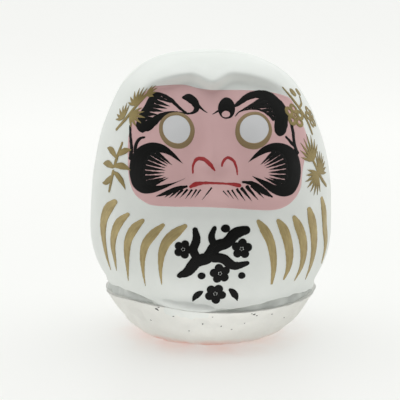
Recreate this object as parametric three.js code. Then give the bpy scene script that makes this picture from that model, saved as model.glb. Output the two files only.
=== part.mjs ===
// A daruma doll: a hollow papier-mache body in two half shells, joined by a paper strip over the
// side seam, glued on a weighted bowl that makes the doll stand up again when it is tipped.
// Millimetres, +Z up. The face looks along -Y and the origin is the middle of the foot.
import * as THREE from "three";

// Driving dimensions
const height = 138;
const bodyRadius = 58.1; // half the width at the widest level
const widestLevel = 55;
const shellWall = 2;
const fitGap = 0.3; // clearance between two pieces that touch on the real doll

// Outline of the body
const crownRise = 2.17; // power of the rise over the shoulders
const crownRound = 2.9; // power of the rounding in to the crown
const shoulderLean = 1.9; // the shoulders lean this far towards +X
const crownLean = 3.7; // and the crown back towards -X
const bellyDrop = 48.8;
const bellyPower = 2.05;
const sectionPower = 2.15; // a level cut is a slightly squared oval
const flattening = 0.05; // the depth is this share less than the width
const hemRadius = 49.9; // lower edge of the shell
const hemSoftness = 2;

// Relief of the hooded front
const faceCentre = { x: 0, z: 98 };
const faceHalf = { x: 42, z: 27 };
const faceCorner = 14;
const faceRecess = { foot: 0.9, top: 4.3, side: 0.3 }; // the sides keep this share of the depth
const recessSlope = 3.4; // half the width of the slope around the recess, doubled at the sides
const hoodLip = { out: 3.6, level: 134, drop: 0.0068, cusp: 4.2, spread: 6 };
const nose = { out: 4, level: 88, halfWidth: 8.5, spread: 10 };
const cheek = { out: 1.8, x: 26, level: 86, spread: 11 };

// Base
const sealRadius = 24;
const sealThickness = 0.5;
const bowlFoot = sealThickness + fitGap;
const bowlFlatRadius = 21.7;
const bowlRim = 22.4;
const rimRadius = 51.3;
const bowlWall = 3;
const bowlRise = 0.82; // powers of the bowl's side
const bowlRound = 2.86;
const skewerRadius = 4; // hole for the stick that holds the doll while it is painted
const clayTop = 13;
const clayDish = 1.5;

// Lower edge of the shell, and the glue under it. The hand-cut edge and the bowl's uneven rim
// rise by these heights at these azimuths, in degrees from the middle of the front.
const hemLevel = bowlRim + 2;
const hemRises = [
  [-180, 0.5], [-110, 1.5], [-75, 3.7], [-55, 5.7], [-43, 4.6], [-30, 2.3], [-10, 0.5], [0, 0],
  [14, 0.7], [30, 2.8], [42, 3.2], [54, 2.6], [70, 1], [110, 0.2], [180, 0.5],
];
const rimRises = [
  [-180, 0.3], [-90, 0.3], [-72, 0.8], [-55, 2.7], [-30, 2.7], [-10, 1.3], [15, 0.6], [90, 0.6],
  [180, 0.3],
];
const rimStart = 14; // the bowl is even below this level
const glueInner = 48.2;
const glueOuter = 50.2;

// Paper strip over the seam
const stripHalfWidth = 5;
const stripThickness = 0.4;
const seamGap = fitGap / 2;

// Fineness of the faceted surfaces
const frontColumns = 28;
const backColumns = 18;
const bellyRows = 8;
const crownRows = 22;
const turnSegments = 44;
const bowlSteps = 9;
const claySteps = 7;
const stripRows = 2;

const right = Math.PI / 2;
const rise = (value, from, to) => THREE.MathUtils.smoothstep(value, from, to);
const bell = (offset, spread) => Math.exp(-((offset / spread) ** 2));
const softMax = (a, b, softness) => (a + b + Math.hypot(a - b, softness)) / 2;

// Half width of the body at a level: a superellipse above the widest level, and below it a
// rounded belly that flares out softly to the hem.
function halfWidthAt(level) {
  if (level >= widestLevel) {
    const up = (level - widestLevel) / (height - widestLevel);
    return bodyRadius * Math.max(1 - up ** crownRise, 0) ** (1 / crownRound);
  }
  const down = (widestLevel - level) / bellyDrop;
  const belly = bodyRadius * Math.sqrt(1 - down ** bellyPower);
  const softness = hemSoftness * (1 - rise(level, hemLevel + 6, hemLevel + 22));
  return softMax(belly, hemRadius, softness);
}

function halfDepthAt(level) {
  return halfWidthAt(level) * (1 - flattening * rise(level, hemLevel, hemLevel + 22));
}

function axisShift(level) {
  const up = Math.max((level - widestLevel) / (height - widestLevel), 0);
  return shoulderLean * up - crownLean * up ** 2.25;
}

// How far the front is pressed in at a place: the face is recessed under the lip of the hood,
// whose two arches meet in a cusp, and the nose and the cheeks stand out of it.
function reliefAt(x, level) {
  const cusp = hoodLip.cusp * bell(x + 1, 6);
  const lipLevel = hoodLip.level - hoodLip.drop * x * x - cusp;
  const warp = (lipLevel - hoodLip.level) * rise(level, 100, 124);
  const across = Math.abs(x - faceCentre.x) - (faceHalf.x - faceCorner);
  const along = Math.abs(level - warp - faceCentre.z) - (faceHalf.z - faceCorner);
  const outside = Math.hypot(Math.max(across, 0), Math.max(along, 0));
  const edge = outside + Math.min(Math.max(across, along), 0) - faceCorner;
  const beside = rise(Math.abs(x), 20, faceHalf.x);
  const full = THREE.MathUtils.lerp(faceRecess.foot, faceRecess.top, rise(level, 80, 120));
  const depth = full * THREE.MathUtils.lerp(1, faceRecess.side, beside);
  const slope = recessSlope * (1 + beside);
  const recess = depth * (1 - rise(edge, -slope, slope));
  const lipFade = rise(level, 104, 127) * (1 - 0.75 * beside);
  const lip = hoodLip.out * bell(level - lipLevel, hoodLip.spread) * lipFade;
  const bridge = nose.out * bell(x, nose.halfWidth) * bell(level - nose.level, nose.spread);
  const besideCheek = Math.hypot(Math.abs(x) - cheek.x, level - cheek.level);
  const cheeks = cheek.out * bell(besideCheek, cheek.spread);
  return recess - lip - bridge - cheeks;
}

// A point of the painted surface. turn is 0 at the middle of that half's face, and +-90 degrees
// at the side seams; side is -1 for the front half and +1 for the back half.
function bodyPoint(turn, level, side) {
  const sine = Math.sin(turn);
  const cosine = Math.cos(turn);
  const wide = Math.max(halfWidthAt(level), 1e-6);
  const deep = Math.max(halfDepthAt(level), 1e-6);
  const sum = Math.abs(sine / wide) ** sectionPower + Math.abs(cosine / deep) ** sectionPower;
  const radius = sum ** (-1 / sectionPower);
  const relief = side < 0 ? reliefAt(radius * sine, level) * rise(cosine, 0.05, 0.35) : 0;
  const y = side * (radius * cosine - relief);
  return new THREE.Vector3(radius * sine + axisShift(level), y, level);
}

// Height between the heights of a table of (azimuth, height) rows.
function heightAt(azimuth, rows) {
  const degrees = THREE.MathUtils.radToDeg(Math.atan2(Math.sin(azimuth), Math.cos(azimuth)));
  const next = Math.max(rows.findIndex(([angle]) => angle >= degrees), 1);
  const [[fromAngle, from], [toAngle, to]] = [rows[next - 1], rows[next]];
  return from + ((to - from) * (degrees - fromAngle)) / (toAngle - fromAngle);
}

function hemAt(turn, side) {
  return hemLevel + heightAt(side < 0 ? turn : 2 * right - turn, hemRises);
}

// Levels of one column from its hem up to the crown, closer together where the outline bends.
function columnLevels(hem) {
  const levels = [];
  for (let row = 0; row < bellyRows; row += 1) {
    levels.push(hem + ((widestLevel - hem) * row) / bellyRows);
  }
  for (let row = 0; row <= crownRows; row += 1) {
    const sweep = (right * row) / crownRows;
    levels.push(widestLevel + (height - widestLevel) * Math.sin(sweep) ** (2 / crownRise));
  }
  return levels;
}

// Outward normal of the painted surface, from two short steps along it.
function bodyNormal(turn, level, side) {
  const step = 1e-3;
  const low = Math.min(level, height - 1);
  const here = bodyPoint(turn, low, side);
  const across = bodyPoint(turn + step, low, side).sub(here);
  const upward = bodyPoint(turn, low + step, side).sub(here);
  return across.cross(upward).multiplyScalar(-side).normalize();
}

// One closed solid between two sheets of the same grid. Columns times rows gives the outward
// side. A sheet that wraps round joins its last column to its first.
function solidBetween(outer, inner, wraps = false) {
  const positions = [];
  const triangle = (a, b, c) => {
    const corners = [a, b, c];
    const thin = corners.some((p, k) => p.distanceTo(corners[(k + 1) % 3]) < 1e-4);
    if (!thin) corners.forEach((p) => positions.push(p.x, p.y, p.z));
  };
  const quad = (a, b, c, d) => {
    triangle(a, b, c);
    triangle(a, c, d);
  };
  const lastColumn = outer.length - 1;
  const lastRow = outer[0].length - 1;
  for (let i = 0; i < lastColumn; i += 1) {
    const [o, p, m, n] = [outer[i], outer[i + 1], inner[i], inner[i + 1]];
    for (let j = 0; j < lastRow; j += 1) {
      quad(o[j], p[j], p[j + 1], o[j + 1]);
      quad(m[j], m[j + 1], n[j + 1], n[j]);
    }
    quad(p[0], o[0], m[0], n[0]);
    quad(o[lastRow], p[lastRow], n[lastRow], m[lastRow]);
  }
  for (let j = 0; j < lastRow && !wraps; j += 1) {
    const [o, m] = [outer[0], inner[0]];
    const [p, n] = [outer[lastColumn], inner[lastColumn]];
    quad(o[j], o[j + 1], m[j + 1], m[j]);
    quad(p[j + 1], p[j], n[j], n[j + 1]);
  }
  const geometry = new THREE.BufferGeometry();
  geometry.setAttribute("position", new THREE.Float32BufferAttribute(positions, 3));
  geometry.computeVertexNormals();
  return geometry;
}

// Half of the papier-mache body, from the side seams to the middle of the front or of the back.
function halfShell(side, columns) {
  const outer = [];
  const inner = [];
  for (let column = 0; column <= columns; column += 1) {
    const turn = side * (right - (2 * right * column) / columns);
    const atSeam = column === 0 || column === columns;
    const levels = columnLevels(hemAt(turn, side));
    outer.push([]);
    inner.push([]);
    levels.forEach((level, row) => {
      const atCrown = row === levels.length - 1;
      const point = bodyPoint(turn, level, side);
      const normal = atCrown ? new THREE.Vector3(0, 0, 1) : bodyNormal(turn, level, side);
      if (atSeam) normal.setY(0).normalize();
      if (row === 0) normal.setZ(0).normalize();
      if (atSeam || atCrown) point.y = 0;
      const inside = point.clone().addScaledVector(normal, -shellWall);
      outer[column].push(point.setY(point.y + side * seamGap));
      inner[column].push(inside.setY(inside.y + side * seamGap));
    });
  }
  return solidBetween(outer, inner);
}

// The strip lies on the shell along the seam, from hem to hem over the crown.
function seamStrip() {
  const stations = [];
  for (const side of [-1, 1]) {
    const flank = columnLevels(hemAt(side * right, -1)).slice(0, -1);
    const run = side < 0 ? flank : flank.reverse();
    run.forEach((level) => stations.push({ level, side }));
  }
  const ridge = stations.map(({ level, side }) => bodyPoint(side * right, level, -1).setY(0));
  const crown = new THREE.Vector3(axisShift(height), 0, height);
  ridge.splice(ridge.length / 2, 0, crown);
  const outer = [];
  const inner = [];
  ridge.forEach((point, k) => {
    const before = ridge[Math.max(k - 1, 0)];
    const after = ridge[Math.min(k + 1, ridge.length - 1)];
    const along = after.clone().sub(before).normalize();
    const normal = new THREE.Vector3(-along.z, 0, along.x);
    outer.push([]);
    inner.push([]);
    for (let row = 0; row <= stripRows; row += 1) {
      const y = stripHalfWidth * ((2 * row) / stripRows - 1);
      const drop = sagBelow(point, normal, y);
      const under = point.clone().addScaledVector(normal, seamGap - drop).setY(y);
      inner[k].push(under);
      outer[k].push(under.clone().addScaledVector(normal, stripThickness));
    }
  });
  return solidBetween(outer, inner);
}

// How far the body falls away below a seam point, y off the seam: the depth along the normal
// at which the body's section equation is met, found by halving.
function sagBelow(point, normal, y) {
  let shallow = 0;
  let deep = 3;
  for (let step = 0; step < 24; step += 1) {
    const middle = (shallow + deep) / 2;
    const probe = point.clone().addScaledVector(normal, -middle);
    const wide = Math.max(halfWidthAt(probe.z), 1e-6);
    const across = Math.abs((probe.x - axisShift(probe.z)) / wide) ** sectionPower;
    const along = Math.abs(y / Math.max(halfDepthAt(probe.z), 1e-6)) ** sectionPower;
    if (across + along > 1) shallow = middle;
    else deep = middle;
  }
  return shallow;
}

// Radius of a bowl of the base's shape at a share of its height.
function bowlRadiusAt(share, flat, rim) {
  return flat + (rim - flat) * (1 - (1 - share) ** bowlRise) ** (1 / bowlRound);
}

// Points up the side of a bowl between two levels, closer together near the foot.
function bowlSide(bottom, top, flat, rim, steps, last = 1) {
  const points = [];
  for (let step = 0; step <= steps; step += 1) {
    const share = last * (step / steps) ** 2;
    const radius = bowlRadiusAt(share, flat, rim);
    points.push(new THREE.Vector2(radius, bottom + (top - bottom) * share));
  }
  return points;
}

// Turns a profile of (radius, level) points round the Z axis.
function turned(profile) {
  return new THREE.LatheGeometry(profile, turnSegments).rotateX(right);
}

function baseBowl() {
  const outside = bowlSide(bowlFoot, bowlRim, bowlFlatRadius, rimRadius, bowlSteps);
  const floor = bowlFoot + bowlWall;
  const inside = bowlSide(floor, bowlRim, bowlFlatRadius - 1, rimRadius - bowlWall, bowlSteps);
  const holeFoot = new THREE.Vector2(skewerRadius, bowlFoot);
  const holeTop = new THREE.Vector2(skewerRadius, floor);
  const even = turned([holeFoot, ...outside, ...inside.reverse(), holeTop, holeFoot.clone()]);
  const places = even.getAttribute("position");
  for (let k = 0; k < places.count; k += 1) {
    const azimuth = Math.atan2(places.getX(k), -places.getY(k));
    const lift = heightAt(azimuth, rimRises) * rise(places.getZ(k), rimStart, bowlRim);
    places.setZ(k, places.getZ(k) + lift);
  }
  return even;
}

function clayWeight() {
  const floor = bowlFoot + bowlWall + fitGap;
  const share = (clayTop - floor) / (bowlRim - floor);
  const flat = bowlFlatRadius - 1 - fitGap;
  const side = bowlSide(floor, bowlRim, flat, rimRadius - bowlWall - 2 * fitGap, claySteps, share);
  const holeRadius = skewerRadius + 0.5;
  const holeFoot = new THREE.Vector2(holeRadius, floor);
  const dish = new THREE.Vector2(holeRadius + 8, clayTop - clayDish);
  const holeTop = new THREE.Vector2(holeRadius, clayTop - clayDish);
  return turned([holeFoot, ...side, dish, holeTop, holeFoot.clone()]);
}

// A bead of glue that fills the joint between the bowl's rim and the wavy lower edge.
function jointGlue() {
  const outer = [];
  const inner = [];
  for (let segment = 0; segment <= turnSegments; segment += 1) {
    const turn = (4 * right * (segment % turnSegments)) / turnSegments;
    const bottom = bowlRim + heightAt(turn, rimRises) + fitGap;
    const top = hemAt(turn, -1) - fitGap;
    const ring = (radius) => {
      const foot = new THREE.Vector3(radius * Math.sin(turn), -radius * Math.cos(turn), bottom);
      return [foot, foot.clone().setZ(top)];
    };
    outer.push(ring(glueOuter));
    inner.push(ring(glueInner));
  }
  return solidBetween(outer, inner, true);
}

function baseSeal() {
  const disc = new THREE.CylinderGeometry(sealRadius, sealRadius, sealThickness, turnSegments);
  return disc.rotateX(right).translate(0, 0, sealThickness / 2);
}

const paints = {
  white: { color: 0xeef0ea, roughness: 0.5, metalness: 0 },
  paper: { color: 0xe6e2d4, roughness: 0.85, metalness: 0 },
  pulp: { color: 0xdcdcd4, roughness: 0.8, metalness: 0 },
  clay: { color: 0x9a7a5c, roughness: 0.95, metalness: 0 },
  glue: { color: 0xb4b8ae, roughness: 0.6, metalness: 0 },
  red: { color: 0xd8503a, roughness: 0.8, metalness: 0 },
};

const pieces = [
  ["front_shell", halfShell(-1, frontColumns), paints.white],
  ["back_shell", halfShell(1, backColumns), paints.white],
  ["seam_strip", seamStrip(), paints.paper],
  ["base_bowl", baseBowl(), paints.pulp],
  ["clay_weight", clayWeight(), paints.clay],
  ["joint_glue", jointGlue(), paints.glue],
  ["base_seal", baseSeal(), paints.red],
];

const daruma = new THREE.Group();
for (const [name, geometry, paint] of pieces) {
  const mesh = new THREE.Mesh(geometry, new THREE.MeshStandardMaterial(paint));
  mesh.name = name;
  daruma.add(mesh);
}

export default daruma;
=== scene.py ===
# %% [markdown]
# # A daruma doll
# A daruma is a hollow paper doll. It is moulded over a form, primed with white gofun, painted by
# hand, and glued on a weighted bowl, so that it stands up again when it is tipped. Here each thing
# that a maker handles or paints is a piece of its own. Every surface is worked out with numpy from
# one description of the body, so the paint follows the paper wherever it bends.

# %% Load the frame
import math
import bmesh
import bpy
import numpy as np
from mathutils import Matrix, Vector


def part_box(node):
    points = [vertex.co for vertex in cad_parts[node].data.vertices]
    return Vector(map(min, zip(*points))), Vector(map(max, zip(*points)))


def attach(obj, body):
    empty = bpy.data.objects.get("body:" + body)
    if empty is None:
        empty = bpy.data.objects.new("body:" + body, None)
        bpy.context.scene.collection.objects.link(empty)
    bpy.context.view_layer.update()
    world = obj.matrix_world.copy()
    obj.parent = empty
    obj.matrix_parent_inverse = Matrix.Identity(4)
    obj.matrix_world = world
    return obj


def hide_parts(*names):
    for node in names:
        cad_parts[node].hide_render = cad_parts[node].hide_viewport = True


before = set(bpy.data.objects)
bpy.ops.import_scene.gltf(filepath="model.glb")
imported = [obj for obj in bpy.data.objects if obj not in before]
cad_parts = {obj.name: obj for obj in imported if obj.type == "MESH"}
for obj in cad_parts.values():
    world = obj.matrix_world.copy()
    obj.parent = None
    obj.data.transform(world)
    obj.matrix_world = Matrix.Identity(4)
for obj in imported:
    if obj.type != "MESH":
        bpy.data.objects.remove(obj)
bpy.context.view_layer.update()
MM = 0.001  # the shapes are worked out in millimetres

# %% [markdown]
# ## The camera
# A long lens a little above the doll, as a small object is shown in a catalogue: from 0.8 m the
# outline hardly bulges, and the eye looks slightly down on the foot.

# %% Camera
CAMERA_DISTANCE = 0.8
CAMERA_RISE = math.radians(12.0)
CAMERA_TURN = math.radians(-2.7)
CAMERA_AIM = np.array([-0.0052, 0.0, 0.0656])
away = np.array([
    math.sin(CAMERA_TURN) * math.cos(CAMERA_RISE),
    -math.cos(CAMERA_TURN) * math.cos(CAMERA_RISE),
    math.sin(CAMERA_RISE),
])
camera_data = bpy.data.cameras.new("camera")
camera_data.lens = 148.5
camera_data.sensor_width = 36.0
camera = bpy.data.objects.new("camera", camera_data)
bpy.context.collection.objects.link(camera)
camera.location = CAMERA_AIM + away * CAMERA_DISTANCE
camera.rotation_euler = (math.pi / 2 - CAMERA_RISE, 0.0, CAMERA_TURN)
bpy.context.scene.camera = camera

# %% [markdown]
# ## The room
# A white sky, soft light from above and white all round. The crown and the shoulders are the
#  brightest, and the front, which looks at the darker room behind the camera, is a step greyer. A
#  white card on the floor in front of the doll softens the shade under the belly.

# %% Sky and lights
scene = bpy.context.scene
scene.view_settings.view_transform = "Standard"
scene.view_settings.look = "None"


def soft_light(name, place, aim, size, watts):
    """A square white area light at a place, turned so that it shines at a point."""
    data = bpy.data.lights.new(name, "AREA")
    data.shape = "SQUARE"
    data.size = size
    data.energy = watts
    lamp = bpy.data.objects.new(name, data)
    bpy.context.collection.objects.link(lamp)
    lamp.location = place
    direction = np.array(aim) - np.array(place)
    pitch = math.atan2(math.hypot(direction[0], direction[1]), -direction[2])
    lamp.rotation_euler = (pitch, 0.0, math.atan2(direction[1], direction[0]) - math.pi / 2)
    return lamp


world = bpy.data.worlds.new("white room")
scene.world = world
world.use_nodes = True
sky = world.node_tree
sky_way = sky.nodes.new("ShaderNodeTexCoord")
sky_split = sky.nodes.new("ShaderNodeSeparateXYZ")
sky_range = sky.nodes.new("ShaderNodeMapRange")
sky_range.interpolation_type = "SMOOTHSTEP"
for label, number in (("From Min", -0.9), ("From Max", 0.6), ("To Min", 0.16), ("To Max", 0.95)):
    sky_range.inputs[label].default_value = number
sky.links.new(sky_way.outputs["Generated"], sky_split.inputs[0])
sky.links.new(sky_split.outputs["Y"], sky_range.inputs["Value"])
sky.links.new(sky_range.outputs["Result"], sky.nodes["Background"].inputs["Strength"])
sky.nodes["Background"].inputs["Color"].default_value = (0.96, 0.985, 0.97, 1.0)
middle = (0.0, 0.0, 0.07)
soft_light("overhead", (0.0, 0.0, 0.95), middle, 0.9, 4.0)
soft_light("left wall", (-0.95, 0.1, 0.3), middle, 0.7, 1.2)
soft_light("right wall", (0.95, 0.1, 0.3), middle, 0.7, 1.2)
card = soft_light("white card on the floor", (0.0, -0.12, 0.001), (0.0, -0.119, 1.0), 0.14, 0.026)
card.visible_camera = False

# %% [markdown]
# ## Helpers for surfaces
# A piece here is one closed solid between two sheets of the same grid: the sheet that is seen, and
# the one behind it. Walls join the sheets round their edges, and points that fall together at a
# pole or along a seam are welded.


# %% Surfaces to meshes
def rise(value, start, end):
    """Smoothly from 0 at start to 1 at end: t t (3 - 2 t)."""
    t = np.clip((value - start) / (end - start), 0.0, 1.0)
    return t * t * (3.0 - 2.0 * t)


def bell(offset, spread):
    """A bump of height 1: exp(-(offset / spread) squared)."""
    return np.exp(-((offset / spread) ** 2))


def solid_between(outer, inner, wraps=False):
    """The points, faces and pattern coordinates of the solid between two (columns, rows, 3) sheets.
    Columns times rows gives the outward side. A sheet that wraps round has no side walls."""
    columns, rows = outer.shape[:2]
    a = np.arange(columns * rows).reshape(columns, rows)
    b = a + columns * rows
    faces = [
        (a[:-1, :-1], a[1:, :-1], a[1:, 1:], a[:-1, 1:]),
        (b[:-1, :-1], b[:-1, 1:], b[1:, 1:], b[1:, :-1]),
        (a[1:, 0], a[:-1, 0], b[:-1, 0], b[1:, 0]),
        (a[:-1, -1], a[1:, -1], b[1:, -1], b[:-1, -1]),
    ]
    if not wraps:
        faces.append((a[0, :-1], a[0, 1:], b[0, 1:], b[0, :-1]))
        faces.append((a[-1, 1:], a[-1, :-1], b[-1, :-1], b[-1, 1:]))
    quads = np.concatenate([np.stack(f, axis=-1).reshape(-1, 4) for f in faces])
    points = np.concatenate([outer.reshape(-1, 3), inner.reshape(-1, 3)])
    length = np.cumsum(np.linalg.norm(np.diff(outer[:, rows // 2], axis=0), axis=-1))
    along = np.repeat(np.concatenate([[0.0], length]), rows)
    across = np.tile(np.linspace(0.0, 1.0, rows), columns)
    pattern = np.tile(np.stack([across, along * 0.1], axis=-1), (2, 1))
    return points, quads, pattern


def make_piece(name, solids, finish, inside=None):
    """One object from solids, welded. The faces of each solid's back sheet take the inside finish."""
    points = np.concatenate([s[0] for s in solids]) * MM
    starts = np.cumsum([0] + [len(s[0]) for s in solids])
    quads = np.concatenate([s[1] + start for s, start in zip(solids, starts)])
    pattern = np.concatenate([s[2] for s in solids])
    mesh = bpy.data.meshes.new(name)
    mesh.from_pydata(points, [], quads)
    uv = mesh.uv_layers.new(name="pattern")
    uv.data.foreach_set("uv", pattern[quads.reshape(-1)].astype(np.float32).reshape(-1))
    mesh.materials.append(finish)
    if inside is not None:
        mesh.materials.append(inside)
        halves = np.concatenate([np.repeat([0, 1], len(s[0]) // 2) for s in solids])
        mesh.polygons.foreach_set("material_index", halves[quads].min(axis=1).astype(np.int32))
    mesh.polygons.foreach_set("use_smooth", np.ones(len(quads), dtype=bool))
    welder = bmesh.new()
    welder.from_mesh(mesh)
    bmesh.ops.remove_doubles(welder, verts=welder.verts, dist=2e-7)
    welder.to_mesh(mesh)
    welder.free()
    piece = bpy.data.objects.new(name, mesh)
    bpy.context.collection.objects.link(piece)
    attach(piece, "root")
    print(f"{name}: {len(mesh.polygons)} faces")
    return piece


# %% [markdown]
# ## The shape of the body
# The outline is a superellipse over the shoulders and a rounded belly below. A level cut is a
# slightly squared oval. The crown leans a little, as paper that dried by hand does. The height, the
# width and the sizes of the base are read from the frame. The outline between them follows the same
# formulas as the solids underneath.

# %% Sizes from the frame
front_low, front_high = (np.array(c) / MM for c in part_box("front_shell"))
bowl_low, bowl_high = (np.array(c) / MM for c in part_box("base_bowl"))
clay_low, clay_high = (np.array(c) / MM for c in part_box("clay_weight"))
glue_high = np.array(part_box("joint_glue")[1]) / MM
seal_low, seal_high = (np.array(c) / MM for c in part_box("base_seal"))
CROWN = front_high[2]
BODY_RADIUS = np.array(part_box("back_shell")[1])[0] / MM
HEM = front_low[2]
HEM_RADIUS = 49.9
RIM_RADIUS = bowl_high[0]
WIDEST = 55.0
WALL = 2.0
SEAM_GAP = 0.15
CROWN_RISE = 2.17
CROWN_ROUND = 2.9
SHOULDER_LEAN = 1.9
CROWN_LEAN = 3.7
BELLY_DROP = 48.8
BELLY_POWER = 2.05
SECTION = 2.15
FLATTENING = 0.05
RIM_TURNS = np.radians([-180, -90, -72, -55, -30, -10, 15, 90, 180])
RIM_RISES = np.array([0.3, 0.3, 0.8, 2.7, 2.7, 1.3, 0.6, 0.6, 0.3])
RIM = bowl_high[2] - max(RIM_RISES)
print("crown", round(CROWN, 1), "radius", round(BODY_RADIUS, 1), "hem", round(HEM, 1))


# %% Outline
def half_width(level):
    """Half the body's width: R (1 - up^2.17)^(1/2.9) above the widest level, R sqrt(1 - down^2.05)
    below it, blended softly into the flare of the hem."""
    up = np.clip((level - WIDEST) / (CROWN - WIDEST), 0.0, 1.0)
    down = np.clip((WIDEST - level) / BELLY_DROP, 0.0, 1.0)
    shoulder = BODY_RADIUS * (1.0 - up**CROWN_RISE) ** (1.0 / CROWN_ROUND)
    belly = BODY_RADIUS * np.sqrt(1.0 - down**BELLY_POWER)
    softness = 2.0 * (1.0 - rise(level, HEM + 6.0, HEM + 22.0))
    flared = (belly + HEM_RADIUS + np.hypot(belly - HEM_RADIUS, softness)) / 2.0
    return np.where(level >= WIDEST, shoulder, flared)


def half_depth(level):
    """Half the body's depth: 5 percent less than the half width, except at the round hem."""
    return half_width(level) * (1.0 - FLATTENING * rise(level, HEM, HEM + 22.0))


def axis_shift(level):
    """The lean of the body: 1.9 up towards +X, less 3.7 up^2.25 back towards -X at the crown."""
    up = np.clip((level - WIDEST) / (CROWN - WIDEST), 0.0, 1.0)
    return SHOULDER_LEAN * up - CROWN_LEAN * up**2.25


def from_front(x, level):
    """The turn, in radians, of the front point that is seen at x and a level."""
    wide = half_width(level)
    across = np.clip(np.abs(x - axis_shift(level)) / wide, 0.0, 0.9999)
    y = half_depth(level) * (1.0 - across**SECTION) ** (1.0 / SECTION)
    return np.arctan2(x - axis_shift(level), y)


# %% [markdown]
# ## The face pressed into it
# The paper carries the relief: a hood whose lip makes two shallow arches over the forehead, a face
# pressed in under it, cheeks, a nose with its wings, and folds of the robe down the belly. Each is a
# few millimetres of a smooth bump, added to how far the front is pressed in. The lip stands 1.3 mm
# higher and 0.2 mm further out than on the solid underneath, which has no folds and no ridge either.

# %% Relief of the hood, face and robe
FACE_HALF_WIDTH = 42.0
FACE_CORNER = 15.0
FACE_FOOT = 71.0
LIP_TOP = 135.3
LIP_CUSP = 4.2
LIP_OUT = 3.8
RECESS_FOOT = 0.9  # how deep the face is pressed in at its foot, and how much more at its top
RECESS_MORE = 3.4
FOLD_OUT = 0.55
FOLD_SPREAD = 2.9
ROUND_BUMPS = [  # out, offset of the middle, half the gap between the pair, level, spread
    (1.2, 0.3, 6.0, 91.0, 4.4),  # wings of the nose
    (1.9, 0.0, 27.0, 87.0, 12.0),  # cheeks
    (0.9, 0.0, 17.5, 107.0, 7.5),  # eyes
]
ROBE_FOLDS = [  # seen from the front: x at the top, in the middle and at the foot of each fold
    (-45.5, -52.0, -48.5), (-40.0, -47.0, -45.5), (-33.0, -40.7, -40.0), (-24.0, -33.4, -32.5),
    (-14.0, -24.8, -25.0), (18.5, 25.7, 25.5), (28.0, 34.0, 31.5), (35.8, 41.0, 37.5),
    (43.3, 46.4, 43.5), (50.2, 53.2, 52.0),
]


def hood_lip(x):
    """Level of the lip of the hood: a falling curve with a dip in the middle, so two arches."""
    return LIP_TOP - 0.0068 * x**2 - LIP_CUSP * bell(x + 1.0, 6.0)


def face_edge(x, level):
    """Distance outside the pressed-in face, negative inside: a box with round corners, whose top
    follows the lip."""
    warped = level - (hood_lip(x) - LIP_TOP) * rise(level, 100.0, 124.0)
    top = LIP_TOP - 5.0
    middle_level = (top + FACE_FOOT) / 2.0
    across = np.abs(x) - (FACE_HALF_WIDTH - FACE_CORNER)
    along = np.abs(warped - middle_level) - ((top - FACE_FOOT) / 2.0 - FACE_CORNER)
    outside = np.hypot(np.maximum(across, 0.0), np.maximum(along, 0.0))
    return outside + np.minimum(np.maximum(across, along), 0.0) - FACE_CORNER


def relief(x, level, turn):
    """How far the front is pressed in: the face, less the lip, nose, wings, muzzle, cheeks, eyes
    and folds."""
    edge = face_edge(x, level)
    side = rise(np.abs(x), 20.0, 42.0)
    deep = (RECESS_FOOT + RECESS_MORE * rise(level, 80.0, 120.0)) * (1.0 - 0.7 * side)
    soft = 3.4 + 3.5 * side
    pressed = deep * (1.0 - rise(edge, -soft, soft))
    lip = LIP_OUT * bell(np.where(edge > 3.2, edge - 3.2, (edge - 3.2) * 1.8), 7.0)
    lip = lip * rise(level, 104.0, 127.0) * (1.0 - 0.75 * rise(np.abs(x), 26.0, 46.0))
    crease = 0.35 * bell(level - 131.5 - 0.62 * x + 0.02 * x**2, 0.9) * bell(x - 3.5, 4.0)
    ridge = 0.8 * bell(x + 1.6, 2.8) * rise(level, 86.0, 98.0) * (1.0 - rise(level, 110.0, 121.0))
    nose = 3.6 * bell(x, 7.5) * bell(level - 90.0, np.where(level > 90.0, 13.0, 7.0))
    muzzle = 1.1 * bell(x, 15.0) * bell(level - 82.0, 5.5)
    pairs = sum(out * bell(np.hypot(np.abs(x + offset) - apart, level - at), spread)
                for out, offset, apart, at, spread in ROUND_BUMPS)
    folds = 0.0
    for top, half, foot in ROBE_FOLDS:
        line = np.interp(level, [34.0, 50.0, 68.0], [foot, half, top])
        apart = (turn - from_front(line, level)) * BODY_RADIUS
        folds = folds + FOLD_OUT * bell(apart, FOLD_SPREAD)
    folds = folds * rise(level, 34.0, 44.0) * (1.0 - rise(level, 58.0, 72.0))
    return pressed + crease - lip - nose - ridge - muzzle - pairs - folds


# %% [markdown]
# ## Paper that isn't quite smooth
# Layers of paper leave low, wandering dents. A sum of plane waves in fixed random directions gives
# them: it has no pole and no seam, and the same numbers each run.

# %% Dents
dent_dice = np.random.default_rng(7)
DENT_WAVES = 26
dent_way = dent_dice.normal(size=(DENT_WAVES, 3))
dent_way = dent_way / np.linalg.norm(dent_way, axis=1, keepdims=True)
dent_length = dent_dice.uniform(11.0, 42.0, DENT_WAVES)
dent_phase = dent_dice.uniform(0.0, 2.0 * math.pi, DENT_WAVES)


def dents(points):
    """Height of the dents at points: the sum of sin(2 pi p . way / length + phase), each wave in
    proportion to its length."""
    phase = np.tensordot(points, (dent_way / dent_length[:, None]).T, axes=1) * 2.0 * math.pi
    return np.sin(phase + dent_phase) @ (dent_length * 0.0021)


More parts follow.
